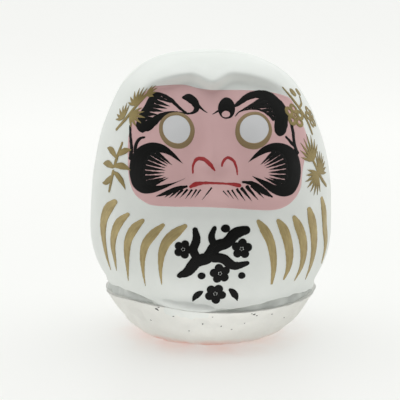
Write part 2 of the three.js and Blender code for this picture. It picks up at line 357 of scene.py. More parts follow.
def body(turn, level, plain=False):
    """Points of the painted surface. turn is 0 at the middle of the front and grows towards +X.
    The radius solves |x/w|^2.15 + |y/d|^2.15 = 1. A plain body leaves out the dents."""
    turn, level = np.broadcast_arrays(turn, level)
    wide = np.maximum(half_width(level), 1e-6)
    deep = np.maximum(half_depth(level), 1e-6)
    sine, cosine = np.sin(turn), np.cos(turn)
    radius = (np.abs(sine / wide) ** SECTION + np.abs(cosine / deep) ** SECTION) ** (-1 / SECTION)
    front = rise(cosine, 0.05, 0.35)
    pressed = relief(radius * sine + axis_shift(level), level, turn) * front
    y = -(radius * cosine - pressed)
    points = np.stack([radius * sine + axis_shift(level), y, level], axis=-1)
    if plain:
        return points
    core = np.array([0.0, 0.0, WIDEST])
    outwards = points - core
    outwards = outwards / np.linalg.norm(outwards, axis=-1, keepdims=True)
    fade = rise(level, HEM, HEM + 8.0) * (1.0 - 0.7 * rise(level, CROWN - 6.0, CROWN))
    return points + outwards * (dents(points) * fade)[..., None]


def body_normals(turn, level, plain=False):
    """Outward normals, from short steps round and up the surface."""
    level = np.minimum(level, CROWN - 0.4)
    step_turn, step_level = 0.004, 0.15
    round_way = body(turn + step_turn, level, plain) - body(turn - step_turn, level, plain)
    up_way = body(turn, level + step_level, plain) - body(turn, level - step_level, plain)
    normals = np.cross(round_way, up_way)
    return normals / np.linalg.norm(normals, axis=-1, keepdims=True)


# %% [markdown]
# ## Finishes
# What several finishes share is a node group: the paper's own unevenness, and the streaks of a
# brush. Each group puts out heights and masks, and the shader of each finish stays in the finish.


# %% Helpers for node trees
def node(tree, kind, **settings):
    """A node with its settings."""
    made = tree.nodes.new(kind)
    for key, value in settings.items():
        setattr(made, key, value)
    return made


def new_group(name, inputs, outputs):
    """A shader node group with float inputs (name: default) and outputs (name: socket type)."""
    tree = bpy.data.node_groups.new(name, "ShaderNodeTree")
    tree.interface.new_socket("Vector", in_out="INPUT", socket_type="NodeSocketVector")
    for label, default in inputs.items():
        socket = tree.interface.new_socket(label, in_out="INPUT", socket_type="NodeSocketFloat")
        socket.default_value = default
    for label, kind in outputs.items():
        tree.interface.new_socket(label, in_out="OUTPUT", socket_type=kind)
    return tree, tree.nodes.new("NodeGroupInput"), tree.nodes.new("NodeGroupOutput")


def noise(tree, vector, scale, detail=4.0, roughness=0.55):
    """The factor output of a noise texture on a vector."""
    made = node(tree, "ShaderNodeTexNoise")
    made.inputs["Scale"].default_value = scale
    made.inputs["Detail"].default_value = detail
    made.inputs["Roughness"].default_value = roughness
    tree.links.new(vector, made.inputs["Vector"])
    return made.outputs["Fac"]


def math_node(tree, operation, first, second):
    """A math node on two sockets or numbers."""
    made = node(tree, "ShaderNodeMath", operation=operation)
    for slot_index, value in enumerate((first, second)):
        if isinstance(value, (int, float)):
            made.inputs[slot_index].default_value = value
        else:
            tree.links.new(value, made.inputs[slot_index])
    return made.outputs[0]


def window(tree, value, low, high, out_low=0.0, out_high=1.0):
    """value between low and high, stretched to out_low and out_high."""
    made = node(tree, "ShaderNodeMapRange")
    tree.links.new(value, made.inputs["Value"])
    for label, number in zip(("From Min", "From Max", "To Min", "To Max"),
                             (low, high, out_low, out_high)):
        made.inputs[label].default_value = number
    return made.outputs["Result"]


def blend(tree, mask, first, second):
    """A colour between two colours, each a socket or three numbers."""
    made = node(tree, "ShaderNodeMix", data_type="RGBA")
    tree.links.new(mask, made.inputs["Factor"])
    for label, value in (("A", first), ("B", second)):
        socket = [s for s in made.inputs if s.name == label and s.type == "RGBA"][0]
        if isinstance(value, tuple):
            socket.default_value = (*value, 1.0)
        else:
            tree.links.new(value, socket)
    return [s for s in made.outputs if s.type == "RGBA"][0]


# %% Shared groups
def paper_group():
    """Hand-laid paper under a coat of gofun. Height: soft lumps, brush drag and fine grain.
    Cloud: where the coat is thicker. Pits: small holes that the coat didn't fill."""
    tree, into, out = new_group(
        "coated paper", {"Lumps": 0.5, "Grain": 0.25},
        {"Height": "NodeSocketFloat", "Cloud": "NodeSocketFloat", "Pits": "NodeSocketFloat"})
    vector = into.outputs["Vector"]
    lumps = noise(tree, vector, 110.0, 3.0)
    drag = node(tree, "ShaderNodeMapping")
    drag.inputs["Scale"].default_value = (1.0, 1.0, 0.22)
    tree.links.new(vector, drag.inputs["Vector"])
    brushed = noise(tree, drag.outputs[0], 900.0, 2.0)
    grain = noise(tree, vector, 2600.0, 3.0, 0.7)
    speckle = noise(tree, vector, 520.0, 1.0)
    pits = window(tree, speckle, 0.73, 0.78)
    height = math_node(tree, "MULTIPLY", lumps, into.outputs["Lumps"])
    fine = math_node(tree, "MULTIPLY", math_node(tree, "ADD", brushed, grain), into.outputs["Grain"])
    height = math_node(tree, "ADD", height, math_node(tree, "MULTIPLY", fine, 0.25))
    height = math_node(tree, "SUBTRACT", height, math_node(tree, "MULTIPLY", pits, 0.12))
    tree.links.new(height, out.inputs["Height"])
    tree.links.new(window(tree, noise(tree, vector, 34.0, 4.0), 0.35, 0.65), out.inputs["Cloud"])
    tree.links.new(pits, out.inputs["Pits"])
    return tree


def brush_group():
    """Streaks along a stroke, from its own coordinates: 0 to 1 across, centimetres along.
    Streak: lighter and darker bristle lines. Load: how full the brush still was."""
    tree, into, out = new_group(
        "brush stroke", {"Bristles": 14.0},
        {"Streak": "NodeSocketFloat", "Load": "NodeSocketFloat"})
    stretch = node(tree, "ShaderNodeCombineXYZ")
    split = node(tree, "ShaderNodeSeparateXYZ")
    tree.links.new(into.outputs["Vector"], split.inputs[0])
    tree.links.new(math_node(tree, "MULTIPLY", split.outputs[0], into.outputs["Bristles"]),
                   stretch.inputs[0])
    tree.links.new(math_node(tree, "MULTIPLY", split.outputs[1], 1.6), stretch.inputs[1])
    streak = noise(tree, stretch.outputs[0], 1.0, 3.0)
    load = noise(tree, into.outputs["Vector"], 1.3, 2.0)
    tree.links.new(window(tree, streak, 0.3, 0.7), out.inputs["Streak"])
    tree.links.new(window(tree, load, 0.35, 0.65), out.inputs["Load"])
    return tree


PAPER = paper_group()
BRUSH = brush_group()


def new_finish(name, **shader_values):
    """A material with its Principled shader, its values set by input name."""
    made = bpy.data.materials.new(name)
    made.use_nodes = True
    shader = made.node_tree.nodes["Principled BSDF"]
    for label, value in shader_values.items():
        shader.inputs[label.replace("_", " ")].default_value = value
    return made, made.node_tree, shader


def use_group(tree, group, coordinates, **values):
    """The outputs of a group placed in a material, on object or stroke coordinates."""
    place = node(tree, "ShaderNodeTexCoord") if coordinates == "object" else node(
        tree, "ShaderNodeUVMap", uv_map="pattern")
    made = node(tree, "ShaderNodeGroup", node_tree=group)
    tree.links.new(place.outputs["Object" if coordinates == "object" else "UV"],
                   made.inputs["Vector"])
    for label, value in values.items():
        made.inputs[label].default_value = value
    return made.outputs


def add_bump(tree, shader, height, strength, distance):
    """A Bump node from a height to the shader's normal."""
    bump = node(tree, "ShaderNodeBump")
    bump.inputs["Strength"].default_value = strength
    bump.inputs["Distance"].default_value = distance
    tree.links.new(height, bump.inputs["Height"])
    tree.links.new(bump.outputs[0], shader.inputs["Normal"])


def coated_paper(name, light, dark, rough, lumps=0.5, grain=0.25, bump=0.5):
    """Paint or gofun on paper: two shades that cloud into each other, and a satin that varies."""
    made, tree, shader = new_finish(name)
    paper = use_group(tree, PAPER, "object", Lumps=lumps, Grain=grain)
    colour = blend(tree, paper["Cloud"], light, dark)
    tree.links.new(colour, shader.inputs["Base Color"])
    tree.links.new(window(tree, paper["Cloud"], 0.0, 1.0, *rough), shader.inputs["Roughness"])
    add_bump(tree, shader, paper["Height"], bump, 0.0006)
    return made


def brushed_paint(name, light, dark, rough, bristles=14.0, bump=0.35, **shader_values):
    """A brush stroke: bristle streaks between two shades, duller where the paint is thin."""
    made, tree, shader = new_finish(name, **shader_values)
    brush = use_group(tree, BRUSH, "stroke", Bristles=bristles)
    mask = math_node(tree, "MULTIPLY_ADD", brush["Streak"], 0.5)
    mask.node.inputs[2].default_value = 0.0
    tree.links.new(math_node(tree, "MULTIPLY", brush["Load"], 0.5), mask.node.inputs[2])
    tree.links.new(blend(tree, mask, light, dark), shader.inputs["Base Color"])
    tree.links.new(window(tree, mask, 0.0, 1.0, *rough), shader.inputs["Roughness"])
    add_bump(tree, shader, brush["Streak"], bump, 0.0001)
    return made


# %% The finishes
GOFUN = coated_paper("white gofun", (0.84, 0.86, 0.83), (0.79, 0.815, 0.78), (0.42, 0.55))
PULP = coated_paper("raw grey pulp", (0.42, 0.40, 0.36), (0.33, 0.32, 0.29), (0.85, 0.95), 0.8, 0.9)
PINK = coated_paper("pink face paint", (0.725, 0.460, 0.457), (0.685, 0.425, 0.425), (0.45, 0.58), 0.4)
BASE_WHITE = coated_paper("rough base coat", (0.90, 0.895, 0.85), (0.85, 0.845, 0.80), (0.7, 0.85),
                          1.0, 1.0, 0.9)
GLUE = coated_paper("joint paste", (0.78, 0.80, 0.77), (0.62, 0.64, 0.61), (0.6, 0.75), 1.0, 0.6, 0.8)
GRIT_GREY = coated_paper("grey grit", (0.20, 0.20, 0.19), (0.09, 0.09, 0.085), (0.7, 0.85), 0.5, 0.8)
CLAY = coated_paper("dried clay", (0.33, 0.24, 0.17), (0.25, 0.18, 0.12), (0.9, 0.98), 1.0, 1.0, 0.9)
RED_PAPER = coated_paper("red paper", (0.75, 0.14, 0.07), (0.66, 0.11, 0.06), (0.75, 0.85), 0.3, 0.7)
# Painted shade: the eye white is a step greyer than the gofun, for the shade inside the pressed-in face.
SHADED_EYE_WHITE = coated_paper("eye white with painted shade", (0.72, 0.72, 0.73), (0.68, 0.68, 0.695), (0.4, 0.5), 0.3)
GOLD = brushed_paint("gold stripe paint", (0.50, 0.400, 0.195), (0.27, 0.200, 0.082), (0.42, 0.6),
                     Metallic=0.55)
SPRIG_GOLD = brushed_paint("gold sprig paint", (0.35, 0.270, 0.105), (0.21, 0.155, 0.055),
                           (0.45, 0.6), Metallic=0.5)
RING_GOLD = brushed_paint("eye ring gold", (0.33, 0.24, 0.125), (0.27, 0.19, 0.095), (0.45, 0.6), 6.0,
                          Metallic=0.45)
BLACK = brushed_paint("black brush lacquer", (0.0055, 0.0055, 0.0050), (0.0030, 0.0030, 0.0026),
                      (0.42, 0.55), Specular_IOR_Level=0.13)
WET_BLACK = brushed_paint("wet black lacquer", (0.0022, 0.0022, 0.0018), (0.0012, 0.0012, 0.001),
                          (0.22, 0.4), 5.0, Specular_IOR_Level=0.12)
RED = brushed_paint("red brush lacquer", (0.42, 0.016, 0.020), (0.30, 0.008, 0.012), (0.35, 0.5))


def redden_foot(made):
    """The red of the base paper bleeds a few millimetres up the foot, in patches."""
    tree = made.node_tree
    shader = tree.nodes["Principled BSDF"]
    coat = shader.inputs["Base Color"].links[0].from_socket
    place = node(tree, "ShaderNodeTexCoord")
    split = node(tree, "ShaderNodeSeparateXYZ")
    tree.links.new(place.outputs["Object"], split.inputs[0])
    low = window(tree, split.outputs[2], 0.0010, 0.0070, 1.0, 0.0)
    patches = window(tree, noise(tree, place.outputs["Object"], 90.0, 2.0), 0.38, 0.56, 0.25, 1.0)
    left = window(tree, split.outputs[0], -0.002, 0.020, 1.0, 0.25)
    stain = math_node(tree, "MULTIPLY", math_node(tree, "MULTIPLY", low, left), patches)
    tree.links.new(blend(tree, stain, coat, (0.93, 0.42, 0.33)), shader.inputs["Base Color"])


redden_foot(BASE_WHITE)

# %% [markdown]
# ## The two half shells
# The body is two paper halves. Each is the surface described above, and 2 mm further in the raw
# back of the paper. Rows run from the hand-cut, wavy hem up to the crown, where they meet.

# %% Shells
HEM_TURNS = np.radians([-180, -110, -75, -55, -43, -30, -10, 0, 14, 30, 42, 54, 70, 110, 180])
HEM_RISES = np.array([0.5, 1.5, 3.7, 5.7, 4.6, 2.3, 0.5, 0.0, 0.7, 2.8, 3.2, 2.6, 1.0, 0.2, 0.5])


def round_the_edge(turn, turns, rises, spread):
    """Height between the heights given at some turns, averaged over a spread either way."""
    total = 0.0
    for shift in np.linspace(-spread, spread, 9):
        total = total + np.interp((turn + shift + math.pi) % (2.0 * math.pi) - math.pi, turns, rises)
    return total / 9.0


def hem(turn):
    """Level of the cut edge of the paper, with a fine ripple of the scissors."""
    scissors = 0.16 * np.sin(turn * 23.0 + 1.0) + 0.1 * np.sin(turn * 41.0)
    return HEM + np.maximum(round_the_edge(turn, HEM_TURNS, HEM_RISES, 0.1) + scissors, 0.0)


def column_levels(turn, belly_rows, crown_rows):
    """Levels of the rows over each turn: even steps over the belly, then steps of the crown's sweep,
    sin(sweep)^(2 / 2.17), that crowd together where the outline bends."""
    share = np.linspace(0.0, 1.0, belly_rows, endpoint=False)
    low = hem(turn)[:, None]
    belly = low + (WIDEST - low) * share
    sweep = np.linspace(0.0, math.pi / 2, crown_rows)
    shoulder = WIDEST + (CROWN - WIDEST) * np.sin(sweep) ** (2.0 / CROWN_RISE)
    return np.concatenate([belly, np.tile(shoulder, (len(turn), 1))], axis=1)


def half_shell(name, middle_turn, columns, rows, replaced):
    """One half of the body: the surface over half a turn, and the same surface without dents moved
    in along its normals by the wall."""
    offset = np.linspace(-math.pi / 2, math.pi / 2, columns)
    level = column_levels(middle_turn + offset, rows // 3, rows - rows // 3)
    turn = (middle_turn + offset)[:, None] + 0.0 * level
    outer = body(turn, level)
    normals = body_normals(turn, level, plain=True)
    normals[:, -1] = (0.0, 0.0, 1.0)
    normals[:, 0, 2] = 0.0
    normals[[0, -1], :, 1] = 0.0
    inner = body(turn, level, plain=True) - normals * WALL
    inner[:, 0, 2] = outer[:, 0, 2]
    side = -math.cos(middle_turn)
    for sheet in (outer, inner):
        sheet[[0, -1], :, 1] = 0.0
        sheet[:, -1, :2] = (axis_shift(CROWN), 0.0)
        sheet[..., 1] += side * SEAM_GAP
    piece = make_piece(name, [solid_between(outer, inner)], GOFUN, inside=PULP)
    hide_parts(replaced)
    return piece


half_shell("painted_front_shell", 0.0, 240, 175, "front_shell")
half_shell("painted_back_shell", math.pi, 130, 110, "back_shell")

# %% [markdown]
# ## The strip over the seam
# A strip of paper bridges the two halves from hem to hem over the crown. The gofun hides its edges,
# so it shows only as a faint band. Each cross line of it is a short arc of the body.


# %% Seam strip
def section_of(x, y, level):
    """Below 1 inside the body, 1 on its plain surface: |x/w|^2.15 + |y/d|^2.15."""
    wide = np.maximum(half_width(level), 1e-3)
    deep = np.maximum(half_depth(level), 1e-3)
    return np.abs((x - axis_shift(level)) / wide) ** SECTION + np.abs(y / deep) ** SECTION


STRIP_HALF_WIDTH = 5.0
STRIP_THICKNESS = 0.34
STRIP_SINK = 0.06  # how far the strip's edges lie below the surface of the body
STRIP_UNDERSIDE = 0.12


def seam_strip():
    """Rows of points across the seam. Each starts on the outline and slides in along the outline's
    normal until it meets the body, which 30 halvings of the way find."""
    level = column_levels(np.array([-math.pi / 2, math.pi / 2]), 24, 90)
    left = body(-math.pi / 2, level[0], plain=True)
    right = body(math.pi / 2, level[1], plain=True)[::-1]
    left[-1] = (axis_shift(CROWN), 0.0, CROWN)
    ridge = np.concatenate([left, right[1:]])
    along = np.gradient(ridge, axis=0)
    along = along / np.linalg.norm(along, axis=1, keepdims=True)
    outwards = np.stack([-along[:, 2], 0.0 * along[:, 0], along[:, 0]], axis=-1)[:, None, :]
    across = np.linspace(-STRIP_HALF_WIDTH, STRIP_HALF_WIDTH, 15)
    start = ridge[:, None, :] + across[:, None] * np.array([0.0, 1.0, 0.0])
    near, far = np.zeros(start.shape[:2]), np.full(start.shape[:2], 3.0)
    for _ in range(30):
        half = (near + far) / 2.0
        spot = start - outwards * half[..., None]
        outside = (section_of(spot[..., 0], spot[..., 1], spot[..., 2]) > 1.0) | (spot[..., 2] > CROWN)
        near, far = np.where(outside, half, near), np.where(outside, far, half)
    spot = start - outwards * far[..., None]
    turn = np.arctan2(spot[..., 0] - axis_shift(spot[..., 2]), -spot[..., 1])
    skin = body(turn, spot[..., 2])
    height = STRIP_THICKNESS * (1.0 - rise(np.abs(across), 3.0, STRIP_HALF_WIDTH)) - STRIP_SINK
    lifted = skin + outwards * height[:, None]
    return solid_between(lifted, skin - outwards * STRIP_UNDERSIDE)


strip = make_piece("coated_seam_strip", [seam_strip()], GOFUN)
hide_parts("seam_strip")

# %% [markdown]
# ## The bowl under the doll
# The base is a thick pulp bowl, coarser than the body, with lumps, a ragged rim and a hole for the
# stick that holds the doll while it is painted. Inside it sits a dish of dried clay, and a disc of
# red paper closes the foot. All of them are profiles turned about the axis.

# %% Turned pieces
BOWL_FLAT = 21.7
BOWL_WALL = 3.0
BOWL_RISE = 0.82
BOWL_ROUND = 2.86
EVEN_BELOW = 14.0
HOLE = 4.0
TURNS = np.linspace(-math.pi, math.pi, 289)
rough_dice = np.random.default_rng(11)
ROUGH_WAVES = 60
rough_way = rough_dice.normal(size=(ROUGH_WAVES, 3))
rough_way = rough_way / np.linalg.norm(rough_way, axis=1, keepdims=True)
rough_length = rough_dice.uniform(1.8, 13.0, ROUGH_WAVES)
rough_phase = rough_dice.uniform(0.0, 2.0 * math.pi, ROUGH_WAVES)


def roughness_of(points):
    """Lumps of coarse pulp: plane waves from 1.8 to 13 mm long, each in proportion to its length."""
    phase = np.tensordot(points, (rough_way / rough_length[:, None]).T, axes=1) * 2.0 * math.pi
    return np.sin(phase + rough_phase) @ (rough_length * 0.0045)


def rim(turn):
    """Level of the bowl's edge, which the maker left uneven."""
    return RIM + round_the_edge(turn, RIM_TURNS, RIM_RISES, 0.1)


def turned(profile, rough=0.0):
    """A sheet from a profile of (radius, level) rows, turned about the axis. Its upper rows follow
    the uneven rim, and it is roughened along the line from a point high inside it."""
    radius, level = np.array(profile).T
    lift = np.outer(rim(TURNS) - RIM, rise(level, EVEN_BELOW, RIM))
    sheet = np.stack([np.outer(np.sin(TURNS), radius), -np.outer(np.cos(TURNS), radius),
                      level + lift], axis=-1)
    outwards = sheet - np.array([0.0, 0.0, 40.0])
    outwards = outwards / np.linalg.norm(outwards, axis=-1, keepdims=True)
    return sheet + outwards * (roughness_of(sheet) * rough)[..., None]


def bowl_radius(share, flat, edge):
    """Radius at a share s of a bowl's height: flat + (edge - flat)(1 - (1 - s)^0.82)^(1/2.86)."""
    return flat + (edge - flat) * (1.0 - (1.0 - share) ** BOWL_RISE) ** (1.0 / BOWL_ROUND)


def bowl_side(foot, top, flat, edge, steps):
    """Rows of (radius, level) up a bowl, closer together near its foot."""
    share = np.linspace(0.0, 1.0, steps) ** 2.5
    return list(zip(bowl_radius(share, flat, edge), foot + (top - foot) * share))


def bowl_point(turn, level):
    """A point on the bowl's coat, by the radius of the bowl's side and the same roughening."""
    height = np.clip((level - bowl_low[2]) / (RIM - bowl_low[2]), 0.0, 1.0)
    radius = bowl_radius(height, BOWL_FLAT, RIM_RADIUS)
    lift = (rim(turn) - RIM) * rise(level, EVEN_BELOW, RIM)
    point = np.stack([np.sin(turn) * radius, -np.cos(turn) * radius, level + lift], axis=-1)
    outwards = point - np.array([0.0, 0.0, 40.0])
    outwards = outwards / np.linalg.norm(outwards, axis=-1, keepdims=True)
    return point + outwards * roughness_of(point)[..., None], outwards


foot = bowl_low[2]
outside = [(HOLE, foot), (12.0, foot)] + bowl_side(foot, RIM, BOWL_FLAT, RIM_RADIUS, 60)
floor = foot + BOWL_WALL
inside = [(HOLE, floor), (12.0, floor)] + bowl_side(floor, RIM, BOWL_FLAT - 1.0,
                                                    RIM_RADIUS - BOWL_WALL, 60)
outer_sheet = turned(outside, 1.0)
outer_sheet[:, :4, 2] = foot
bowl = make_piece("pulp_base_bowl", [solid_between(outer_sheet, turned(inside, 0.6), wraps=True)],
                  BASE_WHITE, inside=PULP)
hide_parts("base_bowl")


# %% Grit in the bowl's coat
GRIT = [  # turn in degrees, level, length and width of each speck, and its tilt
    (-33.0, 20.6, 1.7, 1.0, -35.0), (-31.5, 21.6, 1.0, 0.6, 20.0), (-24.0, 18.6, 0.9, 0.6, 0.0),
    (-7.5, 16.6, 0.8, 0.6, 30.0), (21.0, 20.4, 1.3, 0.9, 10.0), (22.8, 19.6, 0.8, 0.7, -20.0),
    (19.4, 20.9, 0.7, 0.5, 0.0), (3.0, 15.6, 0.7, 0.5, 50.0), (9.5, 13.2, 0.9, 0.6, -10.0),
    (-16.0, 12.6, 0.7, 0.5, 15.0), (16.5, 16.4, 0.6, 0.5, 0.0), (-40.0, 15.5, 0.8, 0.5, -40.0),
    (-2.0, 19.8, 0.6, 0.4, 0.0), (33.0, 19.0, 0.7, 0.5, 25.0), (46.0, 15.0, 0.7, 0.5, 0.0),
    (-150.0, 18.0, 1.2, 0.8, 0.0), (130.0, 16.5, 0.9, 0.6, 10.0), (170.0, 19.5, 1.0, 0.6, -15.0),
]
GRIT_HEIGHT = 0.1
GRIT_SINK = 0.15
GRIT_RADIUS = 45.0  # how far from the axis the specks lie


def speck(turn_degrees, level_at, long, wide, tilt_degrees):
    """A flat crumb of grit, half sunk in the coat: an oval dome a tenth of a millimetre high."""
    angle = -np.linspace(0.0, 2.0 * math.pi, 25)[:, None]
    share = np.linspace(0.0, 1.0, 5)
    tilt = math.radians(tilt_degrees)
    ragged = 1.0 + 0.2 * np.sin(3.0 * angle + long * 9.0)
    u, v = np.cos(angle) * share * long * ragged / 2.0, np.sin(angle) * share * wide * ragged / 2.0
    across, upward = u * math.cos(tilt) - v * math.sin(tilt), u * math.sin(tilt) + v * math.cos(tilt)
    turn = math.radians(turn_degrees) + across / GRIT_RADIUS
    ground, outwards = bowl_point(turn, level_at + upward * 0.8)
    height = GRIT_HEIGHT * (1.0 - share**2) + 0.02
    return solid_between(ground + outwards * height[:, None], ground - outwards * GRIT_SINK,
                         wraps=True)


make_piece("bowl_grit", [speck(*row) for row in GRIT], GRIT_GREY)

clay_side = bowl_side(clay_low[2], RIM, BOWL_FLAT - 1.6, RIM_RADIUS - BOWL_WALL - 0.9, 44)
clay_side = [row for row in clay_side if row[1] < clay_high[2] - 0.6]
clay_top = [(row[0], clay_high[2] - 1.5 + 0.6 * (row[0] / 40.0) ** 2) for row in clay_side]
clay = make_piece("dried_clay_weight", [solid_between(
    turned([(HOLE + 0.5, clay_low[2])] + clay_side, 0.3),
    turned([(HOLE + 0.5, clay_high[2] - 1.5)] + clay_top, 1.2), wraps=True)], CLAY)
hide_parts("clay_weight")

seal_rows = [0.0, 8.0, 16.0, 22.0, seal_high[0]]
seal = make_piece("red_base_seal", [solid_between(
    turned([(r, seal_low[2]) for r in seal_rows]),
    turned([(r, seal_high[2]) for r in seal_rows]), wraps=True)], RED_PAPER)
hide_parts("base_seal")

# %% [markdown]
# ## The paste in the joint
# Between the rim and the hem the maker fills the joint with paste and scraps of paper. It shows as a
# grey, uneven band wherever the hem was cut too high. At the middle of the front and at the back the
# gofun ran down over it and hides it.

# %% Joint paste
paste_share = np.linspace(-0.25, 1.2, 13)
rim_line, hem_line = rim(TURNS)[:, None], hem(TURNS)[:, None]
paste_level = rim_line + (hem_line - rim_line) * paste_share
paste_outer = np.stack([np.sin(TURNS)[:, None] + 0.0 * paste_level,
                        -np.cos(TURNS)[:, None] + 0.0 * paste_level, paste_level], axis=-1)
paste_outer[..., :2] *= glue_high[0]
sink = 0.45 + 0.9 * rise(paste_share, 0.1, 1.0) + 2.0 * roughness_of(paste_outer)
paste_outer[..., :2] *= (1.0 - sink / glue_high[0])[..., None]
paste_inner = paste_outer * np.array([0.94, 0.94, 1.0])
paste = make_piece("joint_paste", [solid_between(paste_outer, paste_inner, wraps=True)], GLUE)
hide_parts("joint_glue")


# %% Gofun over the joint
def joint_coat(first_turn, last_turn):
    """A skin from 3 mm under the rim to 4 mm over the hem: a Catmull-Rom curve over the bowl, the
    rim, the joint and the shell. It sinks behind the paste at both ends."""
    turn = np.radians(np.linspace(first_turn, last_turn, 161))
    away = np.stack([np.sin(turn), -np.cos(turn), 0.0 * turn], axis=-1)
    ragged = 0.4 * np.sin(turn * 31.0) + 0.3 * np.sin(turn * 67.0 + 2.0)
    low, corner = bowl_point(turn, RIM - 3.6 + ragged)[0], bowl_point(turn, RIM + 0.0 * turn)[0]
    over = body(turn, hem(turn) + 2.6)
    path = [low - away * 0.5, low, bowl_point(turn, RIM - 1.4 + 0.0 * turn)[0] + away * 0.25,
            corner + away * 0.1 + (0.0, 0.0, 0.5),
            (corner + over) / 2.0 + away * 0.45 + (0.0, 0.0, 0.3), over + away * 0.12,
            body(turn, hem(turn) + 4.4 + ragged) - away * 0.1, body(turn, hem(turn) + 5.6) - away * 0.5]
    path = np.stack(path, axis=1)
    share = np.linspace(0.0, 5.0 - 1e-9, 26)
    span = share.astype(int)
    t = (share - span)[:, None]
    before, first, second, after = (path[:, span + k] for k in range(4))
    outer = 0.5 * (2.0 * first + (second - before) * t
                   + (2.0 * before - 5.0 * first + 4.0 * second - after) * t**2
                   + (3.0 * first - before - 3.0 * second + after) * t**3)
    reach = np.minimum(turn - turn[0], turn[-1] - turn)[:, None, None]
    outer = outer - away[:, None, :] * 2.4 * (1.0 - rise(reach, 0.0, 0.22))
    return solid_between(outer, outer - away[:, None, :] * 0.5)


coats = [joint_coat(-39.0, 6.0), joint_coat(95.0, 265.0)]
make_piece("joint_coat", coats, GOFUN)

# %% [markdown]
# ## Paint as thin films
# Each painted mark is a closed film about a tenth of a millimetre thick. A mark is drawn flat, in
# millimetres as seen from the front, and then laid on the body, so it follows every bump and dent.
# Three kinds of mark make all of them: a brush stroke along a line, a band between two edges, and a
# filled ring.

# %% Laying marks on the body
PAINT_THICKNESS = 0.1
PAINT_BEAD = 0.035
EDGE_ROUGHNESS = 0.07
paint_dice = np.random.default_rng(23)


def seen_from_front(x, level):
    """The turn and level of a place drawn as seen from the front."""
    return from_front(x, level), level


def smooth_line(points, spacing=0.6):
    """A Catmull-Rom curve through rows of numbers, the first two of which are a place: cubic
    Hermite spans with tangents from the neighbours, sampled closer together near both ends."""
    points = np.array(points, dtype=float)
    chord = np.linalg.norm(np.diff(points[:, :2], axis=0), axis=1)
    knots = np.concatenate([[0.0], np.cumsum(np.maximum(chord, 1e-3))])
    count = max(int(knots[-1] / spacing), 9)
    where = knots[-1] * (1.0 - np.cos(np.linspace(0.0, math.pi, count))) / 2.0
    slopes = np.gradient(points, knots, axis=0) if len(points) > 2 else np.tile(
        (points[1] - points[0]) / knots[-1], (2, 1))
    span = np.clip(np.searchsorted(knots, where, side="right") - 1, 0, len(points) - 2)
    width = (knots[span + 1] - knots[span])[:, None]
    t = (where - knots[span])[:, None] / width
    return (points[span] * (1 + 2 * t) * (1 - t) ** 2 + points[span + 1] * t * t * (3 - 2 * t)
            + slopes[span] * width * t * (1 - t) ** 2 - slopes[span + 1] * width * t * t * (1 - t))


def ripple(length, amount):
    """A small wandering offset along a line: three sines from 1 to 4 mm with dice-thrown phases."""
    waves = paint_dice.uniform(1.0, 4.0, 3)
    phases = paint_dice.uniform(0.0, 2.0 * math.pi, 3)
    return amount * np.sin(length[:, None] * 2.0 * math.pi / waves + phases).sum(axis=1) / 1.7


def film(flat, lift, place, share, wraps=False):
    """The solid of a mark on the body: flat is a (columns, rows, 2) grid, lift its height over the
    paper, and share runs from -1 to 1 across it, where the bead is highest in the middle. A mark
    that wraps round has no end walls."""
    turn, level = place(flat[..., 0], flat[..., 1])
    ground = body(turn, level) - np.array([0.0, SEAM_GAP, 0.0])
    normals = body_normals(turn, level)
    height = lift + PAINT_BEAD * (1.0 - share**2)
    top = ground + normals * height[..., None]
    return solid_between(top, ground + normals * (lift - PAINT_THICKNESS), wraps)


def stroke(points, lift, place=seen_from_front, ends=(1.0, 1.0), rough=EDGE_ROUGHNESS):
    """A brush stroke along points of (x, level, width). Its ends are rounded over that many half
    widths, and its edges wander a little."""
    line = smooth_line(points)
    centre, half = line[:, :2], np.maximum(line[:, 2], 0.06) / 2.0
    along = np.gradient(centre, axis=0)
    along = along / np.maximum(np.linalg.norm(along, axis=1, keepdims=True), 1e-9)
    length = np.concatenate([[0.0], np.cumsum(np.linalg.norm(np.diff(centre, axis=0), axis=1))])
    for distance, roundness, k in ((length, ends[0], 0), (length[-1] - length, ends[1], -1)):
        reach = max(points[k][2] / 2.0 * roundness, 0.03)
        half = half * np.sqrt(np.clip(1.0 - (1.0 - np.minimum(distance / reach, 1.0)) ** 2, 1e-4, 1))
    rows = 7 if half.max() < 1.6 else 11
    across = np.linspace(-1.0, 1.0, rows)
    limit = np.minimum(rough, 0.25 * half)
    left, right = (half + np.clip(ripple(length, rough), -limit, limit) for _ in range(2))
    reach = np.where(across < 0.0, right[:, None], left[:, None]) * across
    side = np.stack([-along[:, 1], along[:, 0]], axis=-1)
    flat = centre[:, None, :] + side[:, None, :] * reach[..., None]
    return film(flat, lift, place, np.broadcast_to(across, flat.shape[:2]))


def band(first, second, lift, place=seen_from_front, rows=15):
    """A mark between two edges that start and end together. Seen from the front, the second edge
    lies to the left of the first one's run."""
    one, two = (smooth_line(edge, 0.5) for edge in (first, second))
    count = max(len(one), len(two))
    one, two = (edge[np.linspace(0, len(edge) - 1, count).round().astype(int)] for edge in (one, two))
    across = np.linspace(0.0, 1.0, rows)
    flat = one[:, None, :] + (two - one)[:, None, :] * across[:, None]
    return film(flat, lift, place, np.broadcast_to(across * 2.0 - 1.0, flat.shape[:2]))


